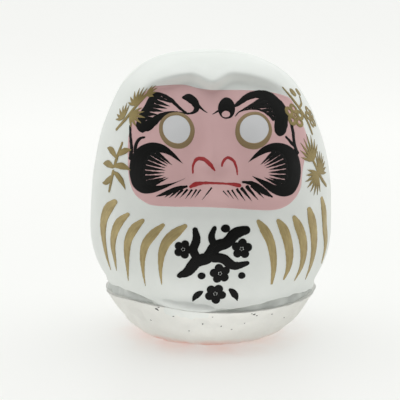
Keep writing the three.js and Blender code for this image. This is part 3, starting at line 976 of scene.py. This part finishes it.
def ring(outer_place, outer_size, inner_place, inner_size, lift, place=seen_from_front, rows=9,
         rough=EDGE_ROUGHNESS):
    """A filled ring between two ovals, each with its own middle and half sizes. An inner oval of
    no size makes a disc."""
    angle = -np.linspace(0.0, 2.0 * math.pi, 97)
    way = np.stack([np.cos(angle), np.sin(angle)], axis=-1)
    wander = 1.0 + 0.7 * rough * sum(np.sin(angle * k + paint_dice.uniform(0, 6)) / k
                                     for k in (2, 3, 5, 9))[:, None] / max(outer_size[0], 2.0)
    inner = np.array(inner_place) + way * np.array(inner_size) * wander
    outer = np.array(outer_place) + way * np.array(outer_size) * wander
    across = np.linspace(0.0, 1.0, rows)
    flat = inner[:, None, :] + (outer - inner)[:, None, :] * across[:, None]
    share = across if max(inner_size) == 0.0 else across * 2.0 - 1.0
    return film(flat, lift, place, np.broadcast_to(share, flat.shape[:2]), wraps=True)


def disc(middle, size, lift, place=seen_from_front, rows=9):
    """A filled oval: a ring whose inner oval has no size."""
    return ring(middle, size, middle, (0.0, 0.0), lift, place, rows)


# %% [markdown]
# ## The pink face
# The face is one flat wash of pink, with a hand-drawn edge that follows the recess. It is drawn as
# rings that shrink to the middle of the face.

# %% Pink wash
WASH_LIFT = 0.05
PINK_EDGE = [
    (-29.0, 124.6), (-22.0, 125.8), (-14.0, 126.1), (-7.0, 124.8), (1.0, 124.2), (11.0, 124.0),
    (22.0, 123.0), (30.5, 121.2), (35.8, 118.6), (38.6, 113.0), (40.9, 107.0), (42.6, 101.5),
    (42.7, 96.5), (41.2, 91.5), (39.9, 86.0), (39.2, 80.0), (36.8, 75.8), (32.5, 72.6), (27.0, 71.3),
    (17.0, 72.0), (5.5, 73.2), (-8.0, 73.8), (-20.0, 73.6), (-29.5, 73.7), (-33.5, 75.2),
    (-37.2, 77.9), (-39.4, 83.0), (-39.9, 91.0), (-39.5, 101.0), (-38.4, 106.5), (-35.8, 113.0),
    (-33.2, 120.5),
]
FACE_MIDDLE = np.array([0.0, 99.0])


def closed_line(points, count):
    """A smooth closed curve: the open one, run on past its start and cut back to one lap."""
    points = np.array(points, dtype=float)
    laps = np.concatenate([points[-3:], points, points[:4]])
    chord = np.linalg.norm(np.diff(laps, axis=0), axis=1)
    knots = np.concatenate([[0.0], np.cumsum(chord)])
    slopes = (laps[2:] - laps[:-2]) / (knots[2:] - knots[:-2])[:, None]
    slopes = np.concatenate([slopes[:1], slopes, slopes[-1:]])
    where = np.linspace(knots[3], knots[3 + len(points)], count)
    span = np.clip(np.searchsorted(knots, where, side="right") - 1, 3, 2 + len(points))
    width = (knots[span + 1] - knots[span])[:, None]
    t = (where - knots[span])[:, None] / width
    return (laps[span] * (1 + 2 * t) * (1 - t) ** 2 + laps[span + 1] * t * t * (3 - 2 * t)
            + slopes[span] * width * t * (1 - t) ** 2 - slopes[span + 1] * width * t * t * (1 - t))


def pink_wash():
    """Rows from the middle of the face to its edge, columns clockwise round it."""
    edge = closed_line(PINK_EDGE, 420)
    share = np.linspace(0.0, 1.0, 64)
    flat = FACE_MIDDLE + (edge - FACE_MIDDLE)[:, None, :] * share[:, None]
    return film(flat, WASH_LIFT, seen_from_front, np.tile(share, (420, 1)), wraps=True)


make_piece("pink_face_wash", [pink_wash()], PINK)

# %% [markdown]
# ## Eyes
# The eyes are left blank, as on every daruma that waits for its wish: a white disc in a gold ring
#  that the brush left thicker below. The white carries painted shade: it is a step greyer than the
#  body's gofun, for the shade inside the pressed-in face.

# %% Eyes
EYE_LIFT = 0.09
RING_LIFT = 0.15
for side, white_at, white_size, ring_at, ring_size in (
    ("left", (-17.9, 107.7), (6.3, 5.9), (-17.75, 107.2), (8.15, 7.75)),
    ("right", (17.6, 107.4), (6.8, 6.0), (17.3, 106.7), (8.6, 8.0)),
):
    white = disc(white_at, np.array(white_size) + 0.4, EYE_LIFT, rows=16)
    make_piece(f"eye_white_{side}", [white], SHADED_EYE_WHITE)
    hoop = ring(ring_at, ring_size, white_at, white_size, RING_LIFT, rows=9, rough=0.25)
    make_piece(f"eye_ring_{side}", [hoop], RING_GOLD)

# %% [markdown]
# ## Brows and beads
# The brows stand for a crane: a thin line that swells into a heavy outer end, with a few feather
# strokes left in the bend. Between them sit two beads of ink with hair-thin tails.

# %% Brows
INK = 0.12


def feathers(tips, lift=INK):
    """Straight tapering strokes, each from (x, level) with a width to a pointed end."""
    return [stroke([(x, z, w), ((x + a) / 2, (z + b) / 2, w * 0.6), (a, b, 0.08)], lift, ends=(0.5, 0))
            for x, z, w, a, b in tips]


brow_left = [
    band([(-13.4, 114.2), (-17.2, 117.6), (-20.6, 120.6), (-24.0, 122.3), (-27.8, 122.3),
          (-30.2, 119.8), (-32.2, 116.3), (-34.4, 113.2), (-35.4, 110.3), (-35.9, 107.2),
          (-34.6, 105.4), (-33.2, 104.9)],
         [(-13.4, 114.5), (-16.4, 116.4), (-19.4, 119.2), (-22.2, 121.0), (-24.6, 121.0),
          (-26.8, 118.8), (-29.2, 115.8), (-31.0, 112.8), (-31.6, 110.0), (-30.9, 107.9),
          (-31.6, 106.0), (-33.2, 104.9)], INK),
    stroke([(-13.0, 114.4, 0.9), (-16.6, 116.9, 1.3), (-20.0, 119.8, 1.7), (-24.0, 121.6, 1.7)], INK),
    stroke([(-13.4, 114.4, 0.6), (-17.2, 114.9, 0.7), (-20.8, 114.6, 1.2), (-24.6, 113.0, 2.3),
            (-28.3, 110.2, 3.5), (-32.8, 106.7, 4.7)], INK),
    *feathers([(-26.6, 120.6, 1.9, -19.4, 118.6), (-27.6, 118.8, 2.1, -20.6, 117.2),
               (-29.6, 117.0, 2.2, -21.8, 116.2), (-31.2, 115.2, 2.3, -23.6, 114.9),
               (-32.2, 113.2, 2.3, -25.8, 113.3), (-33.0, 111.2, 2.2, -27.8, 111.9)]),
]
make_piece("brow_left", brow_left, BLACK)

brow_right = [
    stroke([(8.0, 116.8, 1.0), (11.0, 118.6, 2.0), (15.0, 121.0, 2.8), (20.5, 121.8, 3.2),
            (25.6, 119.9, 4.8), (29.0, 115.8, 5.8), (30.7, 111.0, 6.4), (30.2, 107.0, 6.2),
            (29.4, 103.6, 4.2)], INK),
    stroke([(26.4, 121.3, 1.0), (31.2, 117.3, 1.3), (34.1, 112.0, 1.4), (35.8, 106.2, 1.3),
            (36.2, 102.8, 1.3), (36.5, 98.9, 1.4), (38.0, 94.6, 1.4)], INK),
    stroke([(8.8, 112.9, 0.3), (10.8, 114.8, 0.6), (14.8, 115.8, 0.6), (19.3, 115.7, 0.8),
            (24.0, 113.7, 1.1), (27.6, 110.6, 1.8)], INK, ends=(0.2, 1.0)),
    *feathers([(23.0, 120.2, 2.0, 11.4, 115.4), (24.4, 118.6, 2.1, 13.4, 116.0),
               (25.8, 116.8, 2.0, 16.6, 116.2), (26.8, 115.0, 1.9, 19.8, 115.2),
               (27.6, 113.2, 1.8, 22.4, 114.2), (28.2, 111.4, 1.6, 24.6, 112.7)]),
]
make_piece("brow_right", brow_right, BLACK)

bead_left = [
    stroke([(-15.1, 120.9, 0.6), (-12.4, 121.0, 3.2), (-9.3, 119.0, 3.4), (-8.5, 116.5, 2.6),
            (-10.5, 114.7, 1.1), (-13.4, 114.4, 0.7)], INK, ends=(1.0, 0.5)),
    stroke([(-8.2, 118.0, 1.6), (-5.6, 115.8, 0.7), (-3.6, 114.5, 0.2)], INK, ends=(1.0, 0.0)),
]
make_piece("brow_bead_left", bead_left, BLACK)

bead_right = [
    ring((5.1, 116.4), (3.9, 4.6), (4.7, 113.9), (1.9, 1.4), INK, rough=0.2),
    stroke([(2.4, 115.9, 1.1), (0.2, 114.8, 0.6), (-1.6, 113.9, 0.2)], INK, ends=(1.0, 0.0)),
]
make_piece("brow_bead_right", bead_right, BLACK)

# %% [markdown]
# ## Whiskers
# The cheeks stand for a tortoise: a heavy crescent round each cheek, whose inner edge breaks up into
# a comb of bristles that all point to the middle of the cheek.

# %% Whiskers


def comb(edge, focus, count, reach, width, lift):
    """Bristles from evenly spaced places on an edge towards a focus, shortened to reach."""
    line = smooth_line(edge, 0.2)
    run = np.concatenate([[0.0], np.cumsum(np.linalg.norm(np.diff(line, axis=0), axis=1))])
    bristles = []
    for k in range(count):
        at = run[-1] * (k + 0.5) / count
        root = np.array([np.interp(at, run, line[:, 0]), np.interp(at, run, line[:, 1])])
        way = np.array(focus) - root
        span = np.linalg.norm(way)
        way = way / span
        tip = root + way * min(reach * paint_dice.uniform(0.82, 1.06), span * 0.85)
        start = root - way * 0.9
        bristles.append((*start, width * paint_dice.uniform(0.92, 1.08), *tip))
    return feathers(bristles, lift)


whisker_left_inner = [
    (-15.2, 92.9), (-17.6, 94.3), (-21.2, 96.4), (-25.6, 97.4), (-29.2, 96.4), (-31.6, 93.0),
    (-32.4, 88.6), (-31.6, 84.4), (-27.8, 82.9), (-22.7, 83.8), (-18.2, 85.0), (-13.9, 86.8)]
whisker_left_outer = [
    (-15.2, 92.9), (-19.4, 97.6), (-24.0, 100.8), (-29.4, 101.4), (-34.1, 99.4), (-37.8, 95.2),
    (-39.2, 90.4), (-39.2, 85.2), (-37.6, 80.9), (-34.1, 78.8), (-29.5, 79.2), (-24.4, 81.4),
    (-19.5, 84.0), (-13.9, 86.8)]
whisker_left = [
    band(whisker_left_outer, whisker_left_inner, INK),
    *comb(whisker_left_inner[3:9], (-16.3, 89.3), 9, 8.8, 2.1, INK + 0.01),
]
make_piece("cheek_whisker_left", whisker_left, BLACK)

whisker_right_inner = [
    (14.2, 93.2), (17.0, 94.6), (20.6, 96.2), (25.0, 97.2), (29.0, 96.0), (31.4, 92.2),
    (31.9, 87.6), (30.8, 83.6), (27.6, 82.6), (23.4, 84.4), (19.6, 85.9), (15.9, 87.3)]
whisker_right_outer = [
    (14.2, 93.2), (17.9, 97.0), (22.0, 99.8), (27.6, 100.9), (33.2, 99.4), (37.1, 95.9),
    (38.8, 91.2), (39.1, 86.0), (37.9, 81.0), (35.3, 77.7), (32.0, 76.9), (28.0, 77.8),
    (24.4, 79.9), (20.4, 83.3), (15.9, 87.3)]
whisker_right = [
    band(whisker_right_inner, whisker_right_outer, INK),
    *comb(whisker_right_inner[3:9], (16.3, 89.0), 9, 8.8, 2.1, INK + 0.01),
]
make_piece("cheek_whisker_right", whisker_right, BLACK)

side_lines = {
    "side_lines_left": [
        [(-38.6, 107.5, 0.9), (-38.4, 102.1, 1.2), (-38.1, 97.8, 1.4), (-38.9, 92.6, 1.6)],
        [(-32.0, 103.4, 0.7), (-34.4, 102.4, 1.1), (-35.9, 100.1, 1.3), (-36.9, 95.8, 1.2)]],
    "side_lines_right": [
        [(32.3, 103.4, 0.8), (34.2, 101.2, 1.1), (36.3, 98.4, 1.2)]],
}
for name, lines in side_lines.items():
    make_piece(name, [stroke(line, INK) for line in lines], BLACK)

# %% Moustache
moustache_left = [
    stroke([(-13.2, 83.2, 0.8), (-17.6, 82.0, 2.1), (-22.2, 80.0, 2.0), (-27.4, 77.8, 0.3)], INK,
           ends=(0.5, 0.0)),
    *feathers([(-19.4, 81.2, 1.6, -23.6, 77.6), (-17.4, 81.6, 1.5, -21.6, 77.5),
               (-15.4, 81.8, 1.3, -19.2, 77.6), (-13.2, 81.9, 1.2, -16.9, 77.6),
               (-11.2, 81.8, 1.0, -14.4, 77.3), (-9.2, 81.9, 0.9, -12.0, 77.5),
               (-7.4, 81.9, 0.8, -10.2, 77.8), (-2.4, 83.0, 0.8, -6.8, 77.0)]),
]
make_piece("moustache_left", moustache_left, BLACK)
moustache_right = [
    stroke([(11.2, 85.0, 0.7), (16.0, 84.0, 2.0), (20.6, 80.8, 2.9), (25.6, 77.2, 0.5)], INK,
           ends=(0.5, 0.0)),
    *feathers([(2.6, 81.4, 0.6, 5.4, 78.2), (4.6, 81.6, 0.8, 7.6, 77.4), (6.6, 81.8, 0.9, 9.8, 76.8),
               (8.8, 82.2, 1.3, 13.0, 76.2), (10.9, 82.6, 1.6, 16.0, 76.0),
               (13.2, 83.2, 1.8, 18.9, 76.4), (15.6, 83.4, 1.8, 21.6, 77.0)]),
]
make_piece("moustache_right", moustache_right, BLACK)

# %% [markdown]
# ## Nostrils and lip
# Three strokes of red lacquer: a hook over each wing of the nose, and one shallow arch for the
# closed mouth, pressed heavier at both ends.

# %% Red strokes
RED_LIFT = 0.13
RED_STROKES = {
    "nostril_left": [(-10.8, 88.7, 0.7), (-10.6, 92.6, 1.0), (-8.8, 95.2, 1.5), (-6.0, 95.3, 1.7),
                     (-3.0, 93.1, 1.8), (-1.0, 90.5, 0.6)],
    "nostril_right": [(2.0, 92.3, 0.9), (2.9, 94.7, 1.2), (4.9, 95.9, 1.2), (7.3, 94.6, 1.2),
                      (8.8, 91.4, 1.0), (9.2, 88.1, 0.5)],
    "lip": [(-12.5, 82.6, 1.1), (-10.2, 83.9, 2.0), (-6.4, 84.8, 1.4), (-0.5, 85.0, 1.1),
            (5.4, 84.5, 1.1), (9.0, 83.8, 1.8), (11.0, 83.2, 1.5)],
}
for name, points in RED_STROKES.items():
    make_piece(name, [stroke(points, RED_LIFT)], RED)

# %% [markdown]
# ## Folds of the robe
# Five gold strokes on each side follow the moulded folds: a full round start, a swelling belly and
# a tail that runs dry.

# %% Gold stripes
GOLD_LIFT = 0.12
STRIPES = {
    "robe_stripe_left_1": [(-45.4, 73.4, 1.6), (-48.6, 69.6, 3.4), (-51.4, 62.6, 2.7),
                           (-52.1, 55.6, 2.0), (-51.0, 46.6, 1.2), (-48.6, 38.0, 0.2)],
    "robe_stripe_left_2": [(-39.6, 68.6, 1.3), (-43.8, 64.0, 3.1), (-46.6, 57.6, 2.9),
                           (-47.5, 51.2, 2.2), (-46.6, 44.8, 1.2), (-45.7, 39.2, 0.2)],
    "robe_stripe_left_3": [(-32.8, 66.9, 1.3), (-37.2, 62.0, 3.4), (-40.1, 56.1, 3.0),
                           (-40.8, 50.0, 2.4), (-40.5, 42.6, 1.2), (-40.2, 35.5, 0.2)],
    "robe_stripe_left_4": [(-23.8, 65.6, 1.3), (-28.3, 61.0, 3.3), (-32.2, 55.3, 3.3),
                           (-33.6, 49.2, 2.4), (-33.4, 42.2, 1.2), (-32.4, 34.5, 0.2)],
    "robe_stripe_left_5": [(-13.7, 65.7, 1.4), (-18.4, 62.0, 3.8), (-23.0, 57.1, 3.8),
                           (-25.0, 51.4, 2.9), (-25.4, 45.3, 1.7), (-24.9, 36.5, 0.3)],
    "robe_stripe_right_1": [(18.3, 67.4, 1.2), (21.5, 62.8, 3.3), (24.4, 57.1, 3.3),
                            (25.8, 51.1, 2.9), (26.3, 44.1, 2.2), (25.5, 35.7, 0.8)],
    "robe_stripe_right_2": [(27.8, 66.9, 1.2), (30.6, 62.4, 3.3), (32.9, 56.1, 3.5),
                            (34.0, 48.7, 3.0), (33.4, 42.2, 2.0), (31.4, 36.9, 0.6)],
    "robe_stripe_right_3": [(35.5, 67.5, 1.2), (37.8, 62.9, 3.0), (40.1, 56.8, 3.2),
                            (41.1, 49.8, 2.9), (40.2, 41.6, 1.8), (37.3, 34.8, 0.3)],
    "robe_stripe_right_4": [(43.1, 70.0, 1.4), (44.7, 64.3, 3.0), (46.0, 56.9, 2.9),
                            (46.4, 48.3, 2.3), (45.4, 40.5, 1.5), (43.5, 33.1, 0.2)],
    "robe_stripe_right_5": [(50.0, 72.9, 0.9), (51.3, 65.9, 2.3), (52.6, 56.7, 2.5),
                            (53.3, 49.0, 1.8), (52.7, 43.0, 1.1), (52.0, 38.0, 0.2)],
}
for name, points in STRIPES.items():
    wider = 1.1 if "left" in name else 1.22
    points = [(x, level, width * wider) for x, level, width in points]
    make_piece(name, [stroke(points, GOLD_LIFT, ends=(1.0, 0.0), rough=0.05)], GOLD)

# %% [markdown]
# ## Sprigs beside the face
# Pine, bamboo and plum are the three lucky plants of winter. A gold sprig of one of them is brushed
# on each side of the hood and of the cheeks. Each is drawn flat about its own middle and wrapped on
# the curved side, its millimetres kept true.

# %% Wrapping a drawing on the side
SPRIG_LIFT = 0.17


def wrapped_at(turn_degrees, level_at, tilt_degrees=0.0):
    """A place for marks drawn flat about (0, 0): a turned plane whose width is an arc of the body
    and whose height runs up its side."""
    tilt = math.radians(tilt_degrees)
    here = body(np.array(math.radians(turn_degrees)), np.array(level_at), plain=True)
    lean = body(np.array(math.radians(turn_degrees)), np.array(level_at + 1.0), plain=True) - here
    reach = float(np.hypot(here[0] - axis_shift(level_at), here[1]))

    def place(u, v):
        across = u * math.cos(tilt) - v * math.sin(tilt)
        upward = u * math.sin(tilt) + v * math.cos(tilt)
        level = level_at + upward / float(np.linalg.norm(lean))
        return math.radians(turn_degrees) + across / reach, level

    return place


def leaf(start, tip, width, bow, place, lift=SPRIG_LIFT):
    """A pointed leaf from one press of the brush, bowed to its left by a share of its length."""
    start, tip = np.array(start), np.array(tip)
    way = tip - start
    side = np.array([-way[1], way[0]]) * bow
    rows = [(0.0, 0.3), (0.25, 0.85), (0.55, 1.0), (0.85, 0.45), (1.0, 0.08)]
    points = [(*(start + way * t + side * 4 * t * (1 - t)), width * w) for t, w in rows]
    return stroke(points, lift, place, ends=(1.0, 0.0))


def blossom(middle, radius, line, place, lift, first=90.0, filled=False):
    """Five round petals about a middle: outlines of a line's width, or filled ones."""
    marks = []
    for k in range(5):
        angle = math.radians(first + 72.0 * k)
        at = (middle[0] + 0.56 * radius * math.cos(angle), middle[1] + 0.56 * radius * math.sin(angle))
        size = 0.40 * radius
        inner = 0.0 if filled else size - line
        marks.append(ring(at, (size, size), at, (inner, inner), lift, place, rows=7))
    marks.append(disc(middle, (0.13 * radius,) * 2, lift + 0.01, place, rows=5))
    return marks


def pine_fan(root, first, last, reach, count, place):
    """Needles that spread from a root between two angles, the middle ones longest."""
    marks = []
    for k in range(count):
        share = k / (count - 1)
        angle = math.radians(first + (last - first) * share)
        length = reach * (0.8 + 0.2 * math.sin(math.pi * share)) * paint_dice.uniform(0.92, 1.05)
        tip = (root[0] + length * math.cos(angle), root[1] + length * math.sin(angle))
        marks.append(leaf(root, tip, 1.5, 0.02, place))
    return marks


# %% The four sprigs
on_hood = wrapped_at(-52.0, 116.0, 14.0)
pine = [
    stroke([(-11.0, -11.0, 1.5), (-5.0, -6.0, 1.9), (0.0, -0.5, 1.8), (6.5, 5.0, 1.2)], SPRIG_LIFT,
           on_hood),
    *pine_fan((-6.5, -5.5), 75.0, 175.0, 9.0, 6, on_hood),
    *pine_fan((0.5, 0.5), 45.0, 160.0, 10.0, 7, on_hood),
    *pine_fan((-2.5, -4.0), -75.0, 20.0, 9.5, 6, on_hood),
    *pine_fan((5.5, 4.5), -20.0, 70.0, 6.5, 5, on_hood),
]
make_piece("gold_sprig_pine", pine, SPRIG_GOLD)

on_left_cheek = wrapped_at(-57.0, 87.5, 6.0)
bamboo = [
    stroke([(5.0, 12.0, 1.2), (2.5, 5.0, 1.8), (1.0, 0.0, 1.7)], SPRIG_LIFT, on_left_cheek),
    stroke([(0.8, -0.9, 1.8), (-0.6, -5.5, 1.8), (-3.0, -11.5, 1.3)], SPRIG_LIFT, on_left_cheek),
    leaf((2.4, 5.6), (11.5, 8.5), 2.9, 0.08, on_left_cheek),
    leaf((1.8, 4.6), (-8.5, 9.0), 3.0, -0.1, on_left_cheek),
    leaf((1.0, 0.6), (11.5, -0.5), 3.0, 0.1, on_left_cheek),
    leaf((0.8, 0.0), (-10.5, 1.5), 3.2, -0.08, on_left_cheek),
    leaf((0.5, -1.8), (8.5, -9.5), 2.8, 0.12, on_left_cheek),
    leaf((0.0, -3.4), (-9.5, -7.5), 3.0, 0.1, on_left_cheek),
]
make_piece("gold_sprig_bamboo", bamboo, SPRIG_GOLD)

by_temple = wrapped_at(60.5, 112.5, -12.0)
plum = [
    stroke([(-6.5, 12.5, 1.2), (-3.5, 6.0, 2.0), (-0.8, 0.8, 2.1), (1.5, -5.0, 1.9), (3.0, -12.5, 1.3)],
           SPRIG_LIFT, by_temple),
    stroke([(-1.0, 1.8, 1.2), (3.0, 4.0, 1.2), (6.0, 8.4, 0.9)], SPRIG_LIFT, by_temple),
    *blossom((-6.8, -3.0), 6.6, 1.7, by_temple, SPRIG_LIFT, 80.0),
    *blossom((8.0, -2.8), 6.2, 1.6, by_temple, SPRIG_LIFT, 100.0),
    disc((0.6, 10.0), (2.3, 2.1), SPRIG_LIFT, by_temple),
    disc((7.4, 10.4), (2.0, 1.9), SPRIG_LIFT, by_temple),
]
make_piece("gold_sprig_plum", plum, SPRIG_GOLD)

on_right_cheek = wrapped_at(57.5, 87.5, -8.0)
pine_low = [
    stroke([(11.0, -10.0, 1.6), (5.0, -6.0, 2.0), (0.0, -0.5, 1.8), (-4.5, 6.0, 1.2)], SPRIG_LIFT,
           on_right_cheek),
    *pine_fan((-2.0, 2.5), 50.0, 170.0, 12.0, 8, on_right_cheek),
    *pine_fan((3.0, -3.5), 0.0, 105.0, 12.0, 8, on_right_cheek),
    *pine_fan((1.0, -3.0), 170.0, 280.0, 11.5, 8, on_right_cheek),
]
make_piece("gold_sprig_pine_low", pine_low, SPRIG_GOLD)

# %% [markdown]
# ## The branch on the belly
# A heavy black plum branch fills the belly between the folds, brushed in a few bold, wet strokes.
# Its flowers are pressed with the side of the brush, and one has dropped to the hem.

# %% Belly branch
BELLY_LIFT = 0.14
branch = [
    stroke([(-18.0, 41.2, 1.8), (-13.6, 43.4, 4.4), (-9.2, 48.6, 5.6), (-4.4, 50.4, 5.6),
            (-0.6, 55.6, 5.6), (4.2, 57.4, 5.2), (8.4, 61.6, 5.4), (15.0, 63.4, 3.4)], BELLY_LIFT,
           ends=(1.0, 0.8)),
    stroke([(-3.6, 50.2, 4.2), (2.4, 50.0, 4.6), (7.4, 46.4, 4.2), (14.8, 47.6, 1.8)],
           BELLY_LIFT + 0.01),
    stroke([(-8.6, 49.2, 4.0), (-10.8, 54.2, 3.9), (-9.4, 58.8, 3.8), (-10.2, 64.6, 2.0)],
           BELLY_LIFT + 0.01),
    stroke([(-0.8, 55.8, 3.4), (-2.6, 59.8, 3.2), (-0.8, 65.2, 1.8)], BELLY_LIFT + 0.01),
    *blossom((11.2, 54.4), 5.0, 0.0, seen_from_front, BELLY_LIFT, 84.0, filled=True),
    *blossom((-15.4, 54.2), 4.6, 0.0, seen_from_front, BELLY_LIFT, 70.0, filled=True),
    *blossom((1.4, 42.6), 5.0, 0.0, seen_from_front, BELLY_LIFT, 100.0, filled=True),
    disc((3.8, 64.0), (2.1, 1.9), BELLY_LIFT),
    disc((-7.0, 41.6), (1.8, 1.7), BELLY_LIFT),
    disc((11.4, 41.4), (1.7, 1.6), BELLY_LIFT),
]
make_piece("belly_plum_branch", branch, WET_BLACK)
fallen = [
    *blossom((-0.6, 32.4), 5.2, 0.0, seen_from_front, BELLY_LIFT, 60.0, filled=True),
    leaf((5.6, 35.0), (9.6, 28.6), 3.2, 0.1, seen_from_front, BELLY_LIFT),
    leaf((-6.2, 33.6), (-11.0, 28.4), 3.0, -0.1, seen_from_front, BELLY_LIFT),
]
make_piece("belly_fallen_blossom", fallen, WET_BLACK)

# %% The floor
FLOOR_HALF = 3.0
FLOOR_LEVEL = -0.00003  # a hair under the doll, so that the two don't lie in one plane
floor_mesh = bpy.data.meshes.new("floor")
floor_mesh.from_pydata([(x * FLOOR_HALF, y * FLOOR_HALF, FLOOR_LEVEL)
                        for x, y in ((-1, -1), (1, -1), (1, 1), (-1, 1))], [], [(0, 1, 2, 3)])
floor_plane = bpy.data.objects.new("floor", floor_mesh)
bpy.context.collection.objects.link(floor_plane)
floor_finish, _, floor_shader = new_finish("pale floor", Roughness=0.45)
floor_shader.inputs["Base Color"].default_value = (0.45, 0.45, 0.44, 1.0)
floor_tree = floor_finish.node_tree
floor_place = node(floor_tree, "ShaderNodeTexCoord")
floor_distance = node(floor_tree, "ShaderNodeVectorMath", operation="LENGTH")
floor_tree.links.new(floor_place.outputs["Object"], floor_distance.inputs[0])
# Painted shade: the floor glows evenly as a lit table, but less near the doll, 0.42 within 8 cm rising
# to 0.5 at 60 cm.
floor_tree.links.new(window(floor_tree, floor_distance.outputs["Value"], 0.08, 0.6, 0.42, 0.5),
                     floor_shader.inputs["Emission Strength"])
# Painted reflection: pink patches in the floor's glow round the foot stand for the red seal reflected in
# the floor.
floor_painted_red_reflection = math_node(
    floor_tree, "MULTIPLY", window(floor_tree, floor_distance.outputs["Value"], 0.024, 0.052, 1.0, 0.0),
    window(floor_tree, noise(floor_tree, floor_place.outputs["Object"], 60.0, 2.0), 0.4, 0.6, 0.1, 0.55))
floor_tree.links.new(blend(floor_tree, floor_painted_red_reflection, (1.0, 0.995, 0.97), (1.0, 0.72, 0.62)),
                     floor_shader.inputs["Emission Color"])
floor_mesh.materials.append(floor_finish)
